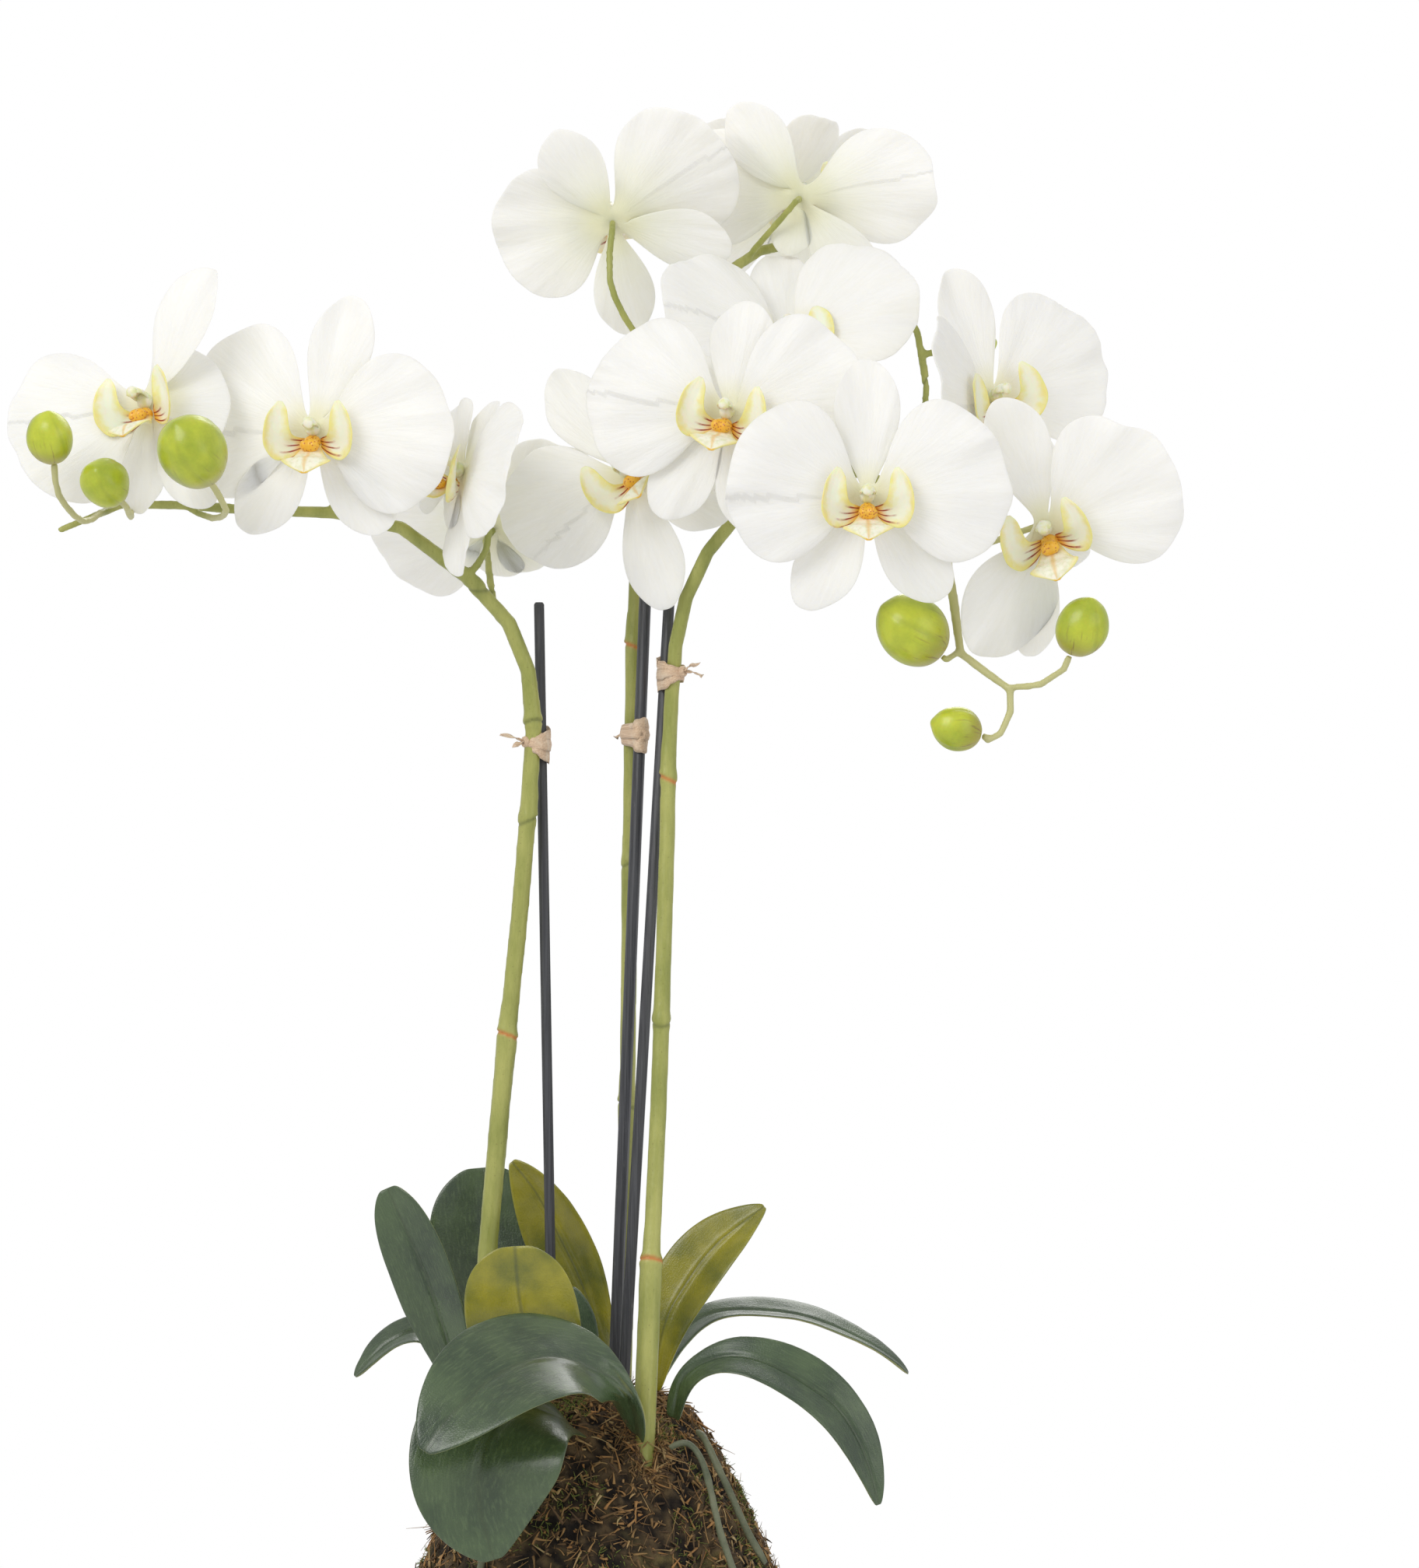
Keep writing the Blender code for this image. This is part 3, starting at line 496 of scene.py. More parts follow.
# %% Lip materials
def make_wing():
    f = Finish("lip wing", roughness=0.42, subsurface_weight=0.3, subsurface_scale=0.003)
    u, v, _ = f.parts(f.uv())
    rim = f.times(f.off_middle(u), 2.0)
    blur = f.noise(f.place(), 350, 3)
    rim = f.plus(rim, f.times(f.plus(blur, -0.5), 0.9))
    tone = f.mix(f.fade(rim, 0.25, 1.05), (0.93, 0.91, 0.76), (0.88, 0.80, 0.30))
    tone = f.mix(f.fade(v, 0.78, 1.0), tone, (0.93, 0.90, 0.62))
    ridge = f.pair(u, f.times(v, 0.12))
    lines = f.node(
        "TexWave", {"Vector": ridge, "Scale": 1.1, "Distortion": 1.2, "Detail": 1.0},
    ).outputs["Fac"]
    near = f.fade(f.plus(v, f.times(blur, 0.2)), 0.44, 0.26)
    streak = f.times(f.fade(lines, 0.72, 0.95), near)
    tone = f.mix(f.fade(v, 0.22, 0.04), tone, (0.90, 0.50, 0.06))
    tone = f.mix(streak, tone, (0.33, 0.045, 0.02))
    f.colour(tone)
    f.bump(f.plus(blur, f.times(lines, 0.3)), 0.0004, 0.5)
    return f.material


def make_tongue():
    f = Finish("lip tongue", roughness=0.42, subsurface_weight=0.15, subsurface_scale=0.002)
    u, v, _ = f.parts(f.uv())
    blur = f.noise(f.place(), 600, 3)
    tone = f.mix(f.fade(blur, 0.4, 0.7), (0.92, 0.90, 0.74), (0.80, 0.80, 0.56))
    tone = f.mix(f.fade(v, 0.3, 0.0), tone, (0.84, 0.48, 0.07))
    edge = f.fade(f.off_middle(u), 0.3, 0.5)
    tone = f.mix(f.times(edge, 0.8), tone, (0.88, 0.78, 0.24))
    tone = f.mix(f.fade(v, 0.90, 1.0), tone, (0.90, 0.55, 0.07))
    middle = f.fade(f.off_middle(u), 0.09, 0.0)
    tone = f.mix(f.times(middle, 0.6), tone, (0.80, 0.50, 0.10))
    f.colour(tone)
    f.bump(blur, 0.0004, 0.5)
    return f.material


def make_callus():
    f = Finish("lip callus", roughness=0.3, coat_weight=0.2)
    dots = f.fade(f.cells(f.place(), 900), 0.42, 0.22)
    tone = f.mix(f.noise(f.place(), 350, 2), (0.92, 0.40, 0.02), (0.88, 0.58, 0.06))
    f.colour(f.mix(f.times(dots, 0.7), tone, (0.45, 0.06, 0.02)))
    f.bump(f.noise(f.place(), 1200, 2), 0.0003, 0.4)
    return f.material


def make_column():
    f = Finish("column", roughness=0.35, subsurface_weight=0.2, subsurface_scale=0.002)
    blur = f.noise(f.place(), 350, 3)
    f.colour(f.mix(f.fade(blur, 0.38, 0.66), (0.90, 0.88, 0.74), (0.80, 0.80, 0.42)))
    f.bump(f.noise(f.place(), 1500, 2), 0.0002, 0.4)
    return f.material


lip_finishes = [make_wing(), make_tongue(), make_callus(), make_column()]
print("finishes:", [m.name for m in lip_finishes])

# %% [markdown]
# ## One lip, modelled once
# A blade is a grid whose two long sides follow two smooth lines, bowed between them, and given a
# thin wall. The wings, the tongue and the column's hood are blades. The callus and the cap are
# round primitives pressed into shape. All thirteen lips are copies of this one model.


# %% Blades and round parts
def line_through(places, share):
    """A place on a smooth line through the given ones, share 0 to 1 along."""
    places = [Vector(p) for p in places]
    ends = [2 * places[0] - places[1], *places, 2 * places[-1] - places[-2]]
    at = min(share, 0.99999) * (len(places) - 1)
    i, t = int(at), at - int(at)
    a, b, c, d = ends[i : i + 4]
    return b + 0.5 * t * ((c - a) + t * ((2 * a - 5 * b + 4 * c - d) + t * (3 * b - a - 3 * c + d)))


def paint(obj, finish):
    """Gives every face of a lip's part one of the lip's finishes, by its number in their list."""
    for material in lip_finishes:
        obj.data.materials.append(material)
    for face in obj.data.polygons:
        face.material_index = finish
    return obj


def blade(name, left, right, bow, wall, finish, across=8, along=16):
    """A thin curved blade between two edge lines. bow(v) says how far its middle stands out, in mm."""
    bpy.ops.object.select_all(action="DESELECT")
    bpy.ops.mesh.primitive_grid_add(x_subdivisions=across, y_subdivisions=along, size=1)
    obj = bpy.context.object
    obj.name = name
    for vert in obj.data.vertices:
        u, v = vert.co.x + 0.5, vert.co.y + 0.5
        a, b = line_through(left, v), line_through(right, v)
        ahead, behind = min(v + 0.02, 1), max(v - 0.02, 0)
        step = line_through(left, ahead) + line_through(right, ahead)
        step -= line_through(left, behind) + line_through(right, behind)
        out = (b - a).cross(step).normalized()
        vert.co = (a.lerp(b, u) + out * bow(v) * (1 - (2 * u - 1) ** 2)) * MM
    apply(obj, "SOLIDIFY", thickness=wall * MM, offset=0)
    subdivide(obj, 1)
    return paint(obj, finish)


def round_part(name, centre, size, finish, press=None):
    """A ball of this half size, pressed into shape by press(place), in mm."""
    bpy.ops.object.select_all(action="DESELECT")
    bpy.ops.mesh.primitive_uv_sphere_add(segments=20, ring_count=14, radius=1)
    obj = bpy.context.object
    obj.name = name
    for vert in obj.data.vertices:
        place = Vector([vert.co[i] * size[i] for i in range(3)])
        vert.co = (Vector(centre) + (press(place) if press else place)) * MM
    subdivide(obj, 1)
    return paint(obj, finish)


print("blade helpers ready")


# %% Build the lip
def flip(places):
    """The same line on the other side of the lip."""
    return [(-x, y, z) for x, y, z in places]


def wing_bow(v):
    return 3.2 * math.sin(math.pi * min(v * 1.1, 1))


def build_lip():
    """The two wings, the tongue, the column with its hood and cap, and the callus, as one mesh."""
    outer = [
        (3, -7, 2), (8, -11, 5), (14, -12, 9.5), (18, -7, 13), (18.5, 0, 14), (16.5, 7.5, 13),
        (12.5, 12.5, 10.8),
    ]
    inner = [
        (3, -3, 2), (5, -2.5, 5), (7, -1.5, 8), (8, 0.8, 10), (8.4, 4.5, 10.6), (9, 8.5, 10.4),
        (10.8, 12, 10.2),
    ]
    parts = [
        blade("wing", outer, inner, wing_bow, 0.7, 0),
        blade("wing", flip(inner), flip(outer), wing_bow, 0.7, 0),
    ]
    side = [
        (3.2, -6, 3), (5.5, -9.5, 8), (8.5, -12, 12.5), (10.5, -12, 16.5), (8.5, -13.5, 19.5),
        (3.5, -16, 21), (0.6, -17.2, 21.8),
    ]
    parts.append(blade("tongue", flip(side), side, lambda v: -2.4 + 3.0 * v, 0.9, 1))
    hood = [(2.2, 0.5, 2.5), (3.0, 1.5, 6), (3.2, 2.2, 9), (2.6, 2.0, 12.5)]
    parts.append(blade("hood", hood, flip(hood), lambda v: 3.4 - 0.6 * v, 0.9, 3, 8, 10))
    parts.append(round_part("cap", (0, 3.2, 12.2), (2.4, 2.5, 1.8), 3))
    parts.append(round_part("column foot", (0, 1.2, 3.6), (3.2, 3.4, 3.0), 3))

    def saddle(place):
        return place + Vector((0, 0, -1.1 * math.exp(-((place.x / 1.1) ** 2)) if place.z > 0 else 0))

    parts.append(round_part("callus", (0, -6.0, 9.8), (4.0, 3.0, 3.2), 2, saddle))
    parts.append(round_part("throat", (0, -4.6, 4.0), (3.6, 3.0, 2.8), 2))
    bpy.ops.object.select_all(action="DESELECT")
    for part in parts:
        part.select_set(True)
    bpy.context.view_layer.objects.active = parts[0]
    bpy.ops.object.join()
    return bpy.context.object


lip_model = build_lip()
print("lip:", len(lip_model.data.polygons), "faces,", [round(v / MM, 1) for v in lip_model.dimensions], "mm")

# %% Place a lip on each flower
for number, bloom in enumerate(BLOOMS):
    lip = new_object("lip_detail_" + bloom, lip_model.data.copy())
    places = points(lip)
    places += 0.35 * np.stack([ripple(places, 7, number * 3 + k) for k in range(3)], 1)
    put_points(lip, from_bloom(bloom, places))
    finish_piece(lip, None, "lip", "lip_" + bloom)
bpy.data.objects.remove(lip_model)
print("lips placed:", len(BLOOMS))

# %% [markdown]
# ## Buds
# A bud is a closed flower: three sepals meet in seams that run from its stalk to its tip. It is
# glossy lime green, browner near its stalk, with thin purple-brown veins. The solid bud is subdivided and
# its seams are pressed in along three lines round its axis, which runs from the stalk's end.


# %% Bud material
def make_bud():
    f = Finish(
        "bud", roughness=0.32, coat_weight=0.25, coat_roughness=0.2, subsurface_weight=0.15,
        subsurface_scale=0.003,
    )
    bud = f.attribute("bud", "Vector")
    turn, along, seam = f.parts(bud)
    tone = clouds(f, (0.60, 0.66, 0.045), (0.30, 0.38, 0.02), 60.0, 900.0, 0.25)
    tone = f.mix(f.fade(along, 0.55, 0.0), tone, (0.40, 0.36, 0.05))
    lines = f.noise(f.scaled(f.pair(turn, along), (3.2, 0.9, 1)), 2.6, 3, 0.55)
    vein = f.times(f.fade(lines, 0.56, 0.68), f.fade(along, 0.75, 0.2))
    tone = f.mix(f.times(vein, 0.7), tone, (0.20, 0.10, 0.04))
    tone = f.mix(f.times(seam, 0.3), tone, (0.27, 0.32, 0.03))
    f.colour(tone)
    f.bump(f.noise(f.place(), 1600, 2), 0.0002, 0.35)
    return f.material


bud_finish = make_bud()
print("finish:", bud_finish.name)


# %% Shape the buds
def shape_bud(node, seed):
    """Seams, knobs and a beak, round the axis from the stalk's end to the tip."""
    spike = points(nodes["spike_" + node.split("_")[1]])
    obj = working_copy(node, "sepals_of_" + node)
    subdivide(obj, 3)
    places = points(obj)
    centre = (places.max(0) + places.min(0)) / 2
    foot = spike[np.argmin(np.linalg.norm(spike - centre, axis=1))]
    axis = (centre - foot) / np.linalg.norm(centre - foot)
    side = np.cross(axis, (0.3, 0.9, 0.2))
    side /= np.linalg.norm(side)
    other = np.cross(axis, side)
    rel = places - centre
    along = rel @ axis
    out = rel - along[:, None] * axis
    turn = np.arctan2(out @ other, out @ side)
    length = along.max()
    share = np.clip((along / length + 1) / 2, 0, 1)
    bent = turn + 0.5 * share + seed
    gap = np.abs((bent * 3 / (2 * np.pi)) % 1 - 0.5) * 2
    seam = np.exp(-(((1 - gap) / 0.11) ** 2)) * np.clip(share * 5, 0, 1) * np.clip((1.02 - share) * 6, 0, 1)
    radius = np.linalg.norm(out, axis=1, keepdims=True)
    knobs = 1 + 0.035 * ripple(rel / length, 0.7, seed)
    scale = 1 - 0.022 * seam + 0.02 * np.cos(3 * bent) * share - 0.05 * (share - 0.5)
    beak = np.exp(-((radius[:, 0] / (0.22 * length)) ** 2)) * (share > 0.5) * 0.08 * length
    places = centre + (along + beak)[:, None] * axis * 0.99 + out * (scale * knobs)[:, None]
    put_points(obj, places)
    note(obj, "bud", np.stack([bent, share, seam], 1))
    return finish_piece(obj, bud_finish, "bud", node)


buds = sorted(n for n in nodes if n.startswith("bud_"))
for number, node in enumerate(buds):
    shape_bud(node, number * 1.7)
print("buds shaped:", len(buds))

# %% [markdown]
# ## Spikes
# The stems are olive green with darker mottling, a ring at each swollen joint, orange on some, and
# a paler skin on the twigs that carry the buds. The solid tube has flat sides and its stalks meet it
# in hard corners. A voxel remesh turns it into one even skin, and smoothing rounds the joins.


# %% Stem material
def make_stem():
    f = Finish("stem", roughness=0.42, coat_weight=0.12, coat_roughness=0.3)
    tone = clouds(
        f, (0.48, 0.48, 0.14), (0.24, 0.27, 0.05), 120.0, 1500.0, 0.35, f.scaled(f.place(), (1, 1, 0.25)),
    )
    specks = f.fade(f.noise(f.place(), 1100, 2), 0.66, 0.74)
    tone = f.mix(f.times(specks, 0.45), tone, (0.13, 0.08, 0.03))
    tone = f.mix(f.times(f.attribute("joint"), 0.85), tone, (0.62, 0.17, 0.035))
    tone = f.mix(f.times(f.attribute("groove"), 0.6), tone, (0.12, 0.14, 0.03))
    thin = f.fade(f.attribute("thin"), 0.0, 1.0)
    tone = f.mix(f.times(thin, 0.75), tone, (0.66, 0.63, 0.32))
    f.colour(tone)
    grain = f.noise(f.scaled(f.place(), (1, 1, 0.15)), 1500, 2)
    f.bump(grain, 0.0003, 0.5)
    return f.material


stem_finish = make_stem()
print("finish:", stem_finish.name)

# %% Shape the spikes
# Height of each joint, whether its ring is orange, and the side its scale leaf clasps (degrees).
JOINTS = {
    "spike_left": ((366, 1, 200), (455, 0, 20), (495, 0, -60), (551, 0, 90)),
    "spike_middle": ((336, 0, 180), (437, 0, 0), (527, 1, 200), (645, 0, 0)),
    "spike_right": ((275, 1, 250), (372, 0, 90), (472, 1, 180)),
}


SCALE_LEAF = 13  # mm, how far a joint's scale leaf clasps the stem


def shape_spike(node):
    """One smooth skin with a ring and a clasping scale leaf at each joint."""
    obj = working_copy(node, "stem_of_" + node)
    apply(obj, "REMESH", mode="VOXEL", voxel_size=0.7 * MM, adaptivity=0.0)
    apply(obj, "SMOOTH", factor=0.6, iterations=12)
    places = points(obj)
    normals = point_normals(obj)
    turn = np.degrees(np.arctan2(normals[:, 1], normals[:, 0]))
    joint, groove, scale_leaf = (np.zeros(len(places)) for _ in range(3))
    for height, orange, side in JOINTS[node]:
        slant = 1.6 * np.cos(np.radians(turn - side))
        above = places[:, 2] - height - slant
        ring = np.exp(-(((above + 0.5) / 0.8) ** 2))
        joint = np.maximum(joint, ring * orange)
        groove = np.maximum(groove, ring * (1 - orange))
        clasp = np.clip(np.cos(np.radians(turn - side)), 0, 1) ** 0.6
        height_left = np.where(above > 0, np.clip(1 - above / SCALE_LEAF, 0, 1), 0)
        scale_leaf += height_left**0.7 * (0.25 + clasp) * 0.55
    grow = 0.22 + scale_leaf - 0.3 * (joint + groove) + 0.16 * ripple(places * (1, 1, 0.3), 3)
    put_points(obj, places + normals * grow[:, None])
    note(obj, "joint", joint)
    note(obj, "groove", groove)
    twigs = {"spike_left": (-34 - places[:, 1]) / 8, "spike_right": (places[:, 0] - 136) / 14}
    note(obj, "thin", np.clip(twigs.get(node, places[:, 0] * 0), 0, 1))
    return finish_piece(obj, stem_finish, "stem", node)


for node in JOINTS:
    made = shape_spike(node)
    print(node, len(made.data.polygons), "faces")

# %% [markdown]
# ## Leaves
# Each leaf is a thick strap with a sunken midrib. Its upper face is dark green and leathery, its
# underside olive yellow, and its edge is a thin paler line. To tell the faces apart, and to run
# the veins lengthwise, each point needs its place along and across the leaf, so the midlines and
# the way the upper face looks are listed first.

# %% Midlines of the leaves, half width, and the upper face at foot and tip
STRAPS = {
    "leaf_01": (
        [(-52, 16, 206), (-61, 15, 235), (-72, 13, 268), (-87, 12, 302)], 15, (-0.5, -0.8, 0.3),
        (-0.5, -0.8, 0.3),
    ),
    "leaf_02": (
        [(-34, 32, 211), (-40, 42, 245), (-46, 48, 275), (-49, 50, 308)], 27, (0, -1, 0.3), (0, -1, 0.3),
    ),
    "leaf_03": (
        [(-18, -26, 217), (-25, -44, 236), (-30, -54, 260), (-32, -58, 283)], 24, (0, 1, 0.4),
        (0, 1, 0.4),
    ),
    "leaf_04": (
        [
            (18, -47, 204), (15, -56, 222), (0, -67, 234), (-18, -83, 241), (-36, -98, 236),
            (-51, -110, 225), (-66, -118, 206),
        ],
        27, (-0.5, -0.5, 0.6), (-0.2, -1, 0.3),
    ),
    "leaf_05": (
        [
            (-8, -46, 207), (-22, -66, 219), (-36, -82, 216), (-44, -90, 200), (-45, -92, 182),
            (-39, -92, 160),
        ],
        33, (0, -0.6, 1), (0, -1, 0.1),
    ),
    "leaf_06": (
        [(-44, 34, 193), (-56, 36, 222), (-71, 36, 240), (-87, 34, 236), (-102, 32, 221)], 12,
        (0, -0.4, 1), (-0.4, -0.5, 0.8),
    ),
    "leaf_07": (
        [(7, 28, 218), (4, 29, 230), (-3, 30, 255), (-13, 31, 277), (-24, 31, 297), (-36, 31, 312)], 16,
        (0.6, 0.8, -0.3), (0.6, 0.8, -0.3),
    ),
    "leaf_08": ([(-4, -8, 220), (-6, -6, 238), (-10, -4, 262)], 8, (0, -1, 0), (0, -1, 0)),
    "leaf_09": (
        [(23, 4, 218), (29, 5, 245), (38, 6, 262), (51, 8, 278), (70, 10, 294)], 15, (0.3, 0.9, -0.2),
        (0.5, 0.8, -0.4),
    ),
    "leaf_10": (
        [(24, 28, 218), (38, 46, 243), (66, 55, 247), (93, 58, 242), (115, 60, 232), (131, 62, 219)], 12,
        (0, -0.2, 1), (0.3, -0.3, 1),
    ),
    "leaf_11": (
        [
            (32, -32, 210), (37, -40, 230), (50, -46, 238), (67, -50, 236), (84, -52, 228),
            (99, -52, 216), (109, -52, 199), (115, -52, 177),
        ],
        13, (0, -0.6, 0.8), (0.5, -0.8, 0.3),
    ),
}


def make_leaf():
    f = Finish("leaf", roughness=0.3, coat_weight=0.6, coat_roughness=0.22)
    strap = f.attribute("strap", "Vector")
    across, along, _ = f.parts(strap)
    lines = f.noise(f.pair(f.times(across, 26.0), f.times(along, 2.2)), 1.0, 3, 0.6)
    top = clouds(f, (0.07, 0.115, 0.045), (0.016, 0.038, 0.016), 45.0, 1300.0, 0.25)
    under = clouds(f, (0.36, 0.32, 0.012), (0.11, 0.13, 0.008), 55.0, 1300.0, 0.25)
    top = f.mix(f.times(f.fade(lines, 0.45, 0.75), 0.45), top, (0.12, 0.18, 0.075))
    tone = f.mix(f.attribute("upper"), under, top)
    rib = f.fade(f.maths("ABSOLUTE", across), 0.055, 0.0)
    tone = f.mix(f.times(rib, 0.45), tone, (0.035, 0.055, 0.02))
    tone = f.mix(f.times(f.attribute("rim"), 0.75), tone, (0.34, 0.36, 0.14))
    f.colour(tone)
    fine = f.cells(f.place(), 1400)
    height = f.plus(f.times(fine, 0.5), lines)
    f.roughness(f.noise(f.place(), 70, 3), 0.2, 0.4)
    f.bump(height, 0.0004, 0.45)
    return f.material


leaf_finish = make_leaf()
print("leaves:", len(STRAPS), "finish:", leaf_finish.name)


# %% Shape the leaves
def strap_places(midline, places):
    """For each place, its share of the way along the midline, the nearest place there and its direction."""
    line = np.array([line_through(midline, k / 80) for k in range(81)])
    run = np.concatenate([[0], np.cumsum(np.linalg.norm(np.diff(line, axis=0), axis=1))])
    near = np.argmin(np.linalg.norm(places[:, None] - line[None], axis=2), axis=1)
    step = np.gradient(line, axis=0)
    step /= np.linalg.norm(step, axis=1, keepdims=True)
    return run[near] / run[-1], line[near], step[near]


def shape_leaf(node, seed):
    """A sunken midrib and soft swells, and notes for the finish on which face is the upper one."""
    midline, half, foot_face, tip_face = STRAPS[node]
    obj = working_copy(node, "strap_of_" + node)
    subdivide(obj, 3)
    places = points(obj)
    normals = point_normals(obj)
    share, near, step = strap_places(midline, places)
    face = np.array(foot_face) * (1 - share)[:, None] + np.array(tip_face) * share[:, None]
    side = np.cross(step, face)
    side /= np.linalg.norm(side, axis=1, keepdims=True)
    across = ((places - near) * side).sum(1) / half
    up = np.cross(side, step)
    facing = (normals * up).sum(1)
    upper = np.clip(facing * 2.5 + 0.5, 0, 1)
    rim = np.clip(1 - np.abs(facing) * 1.5, 0, 1)
    groove = -0.9 * np.exp(-((across / 0.07) ** 2)) * np.clip((1 - share) * 4, 0, 1)
    swell = 0.8 * ripple(places, 24, seed) + 0.15 * ripple(places, 5, seed + 2)
    places = places + up * ((groove + swell) * np.clip(share * 6, 0, 1))[:, None]
    put_points(obj, places)
    note(obj, "strap", np.stack([across, share * 10, np.zeros(len(share))], 1))
    note(obj, "upper", upper)
    note(obj, "rim", rim)
    return finish_piece(obj, leaf_finish, "leaf", node)


for number, node in enumerate(STRAPS):
    shape_leaf(node, number + 1)
print("leaves shaped:", len(STRAPS))

# %% [markdown]
# ## Air roots
# Air roots are smooth cords with a grey, dry skin over green flesh. The solid root is subdivided and
# made a little lumpy.


# %% Roots
def make_root():
    f = Finish("air root", roughness=0.55, coat_weight=0.05)
    tone = clouds(f, (0.20, 0.21, 0.13), (0.05, 0.07, 0.035), 90.0, 1200.0, 0.4)
    cracks = f.fade(f.noise(f.scaled(f.place(), (1, 1, 3)), 700, 3), 0.62, 0.72)
    f.colour(f.mix(f.times(cracks, 0.6), tone, (0.20, 0.14, 0.07)))
    f.bump(f.noise(f.place(), 800, 4), 0.0005, 0.6)
    return f.material


root_finish = make_root()
for number in (1, 2, 3):
    root = working_copy(f"root_{number}", f"air_root_{number}")
    subdivide(root, 3)
    places = points(root)
    put_points(root, places + point_normals(root) * (0.4 * ripple(places, 7, number) - 0.5)[:, None])
    finish_piece(root, root_finish, "root", f"root_{number}")
print("roots shaped: 3")

# %% [markdown]
# ## Stakes
# The stakes are dark grey rods with a satin skin, lengthwise lines and small scuffs. Their cut tops
# get a small bevel, so that the edge catches the light.


# %% Stakes
def make_stake():
    f = Finish("stake", roughness=0.38)
    lines = f.noise(f.scaled(f.place(), (1, 1, 0.02)), 1400, 3)
    tone = f.mix(f.fade(lines, 0.35, 0.7), (0.040, 0.041, 0.048), (0.075, 0.078, 0.088))
    scuff = f.fade(f.noise(f.scaled(f.place(), (1, 1, 0.2)), 300, 4, 0.7), 0.62, 0.72)
    f.colour(f.mix(f.times(scuff, 0.5), tone, (0.20, 0.20, 0.20)))
    f.roughness(lines, 0.28, 0.5)
    f.bump(lines, 0.0003, 0.5)
    return f.material


stake_finish = make_stake()
for side in ("left", "middle", "right"):
    stake = working_copy("stake_" + side, "rod_" + side)
    apply(stake, "BEVEL", width=0.35 * MM, segments=3, limit_method="ANGLE", angle_limit=math.radians(55))
    finish_piece(stake, stake_finish, "stake", "stake_" + side)
    only(stake)
    bpy.ops.object.shade_smooth_by_angle(angle=math.radians(40))
print("stakes shaped: 3")

# %% [markdown]
# ## Raffia ties
# Each tie is a strand of raffia wound three times round stake and stem, then knotted, with two loose
# ends. Each turn is a flat ribbon on a slightly different tilt, so the turns overlap as wound
# raffia does.


# %% Raffia
def make_raffia():
    f = Finish("raffia", roughness=0.7, sheen_weight=0.2)
    fibres = f.noise(f.scaled(f.uv(), (26, 3, 1)), 1.0, 3, 0.6)
    tone = f.mix(f.fade(fibres, 0.35, 0.7), (0.62, 0.42, 0.27), (0.86, 0.66, 0.48))
    bleached = f.fade(f.noise(f.place(), 160, 3), 0.45, 0.65)
    f.colour(f.mix(f.times(bleached, 0.4), tone, (0.88, 0.78, 0.62)))
    f.bump(fibres, 0.0004, 0.7)
    return f.material


raffia_finish = make_raffia()


def ribbon(bm, path, faces, halves, thick, closed=False):
    """A flat strand along a path. At each place it looks along its face, and has its own half width, in mm."""
    uv = bm.loops.layers.uv.verify()
    rows = []
    for i, place in enumerate(path):
        ahead = path[(i + 1) % len(path)] if closed or i < len(path) - 1 else place
        behind = path[i - 1] if closed or i else place
        along = (ahead - behind).normalized()
        out = (faces[i] - along * faces[i].dot(along)).normalized()
        wide = along.cross(out) * halves[i]
        rise = [
            0, 0.7 + 0.5 * math.sin(i * 1.3), 1.2 + 0.6 * math.sin(i * 0.9 + 2),
            0.8 + 0.5 * math.sin(i * 1.7), 0,
        ]
        ring = [wide * (1 - k / 2) + out * thick * (rise[k] if k % 4 else 0) for k in range(5)]
        ring += [-wide * 0.9 - out * thick, wide * 0.9 - out * thick]
        rows.append([bm.verts.new((place + r) * MM) for r in ring])
    count = len(rows) if closed else len(rows) - 1
    sides = len(rows[0])
    for i in range(count):
        a, b = rows[i], rows[(i + 1) % len(rows)]
        for k in range(sides):
            face = bm.faces.new((a[k], a[(k + 1) % sides], b[(k + 1) % sides], b[k]))
            for loop, (x, y) in zip(face.loops, ((k, i), (k + 1, i), (k + 1, i + 1), (k, i + 1))):
                loop[uv].uv = (x / sides, y / 6)
    if not closed:
        bm.faces.new(rows[0][::-1])
        bm.faces.new(rows[-1])


print("finish:", raffia_finish.name)

# %% Wind and knot the ties
STAKE_RADIUS, STEM_RADIUS = 2.5, 3.7  # mm
ROUND = 48  # places round one turn


def held_rods(tie, height):
    """Centre and radius of the stake and of the stem at this height, in mm."""
    stake = points(nodes[tie.replace("tie", "stake")])
    middle = (stake[:, 2].min() + stake[:, 2].max()) / 2
    foot, top = stake[stake[:, 2] < middle].mean(0), stake[stake[:, 2] > middle].mean(0)
    at = foot + (top - foot) * (height - foot[2]) / (top[2] - foot[2])
    stem = points(nodes[tie.replace("tie", "spike")])
    near = stem[np.abs(stem[:, 2] - height) < 14][:, :2]
    near = near[np.linalg.norm(near - at[:2], axis=1) < 13]
    return (at[:2], STAKE_RADIUS), (near.mean(0), STEM_RADIUS)


def round_both(rods, centre, ways):
    """The line of a taut strand round both rods, one place for each way out from the centre."""
    reach = [max((c - centre) @ w + r for c, r in rods) + 0.45 for w in ways]
    step = 4 * math.pi / ROUND
    side = [(reach[(i + 1) % ROUND] - reach[i - 1]) / step for i in range(ROUND)]
    return [centre + w * r + np.array((-w[1], w[0])) * d for w, r, d in zip(ways, reach, side)]


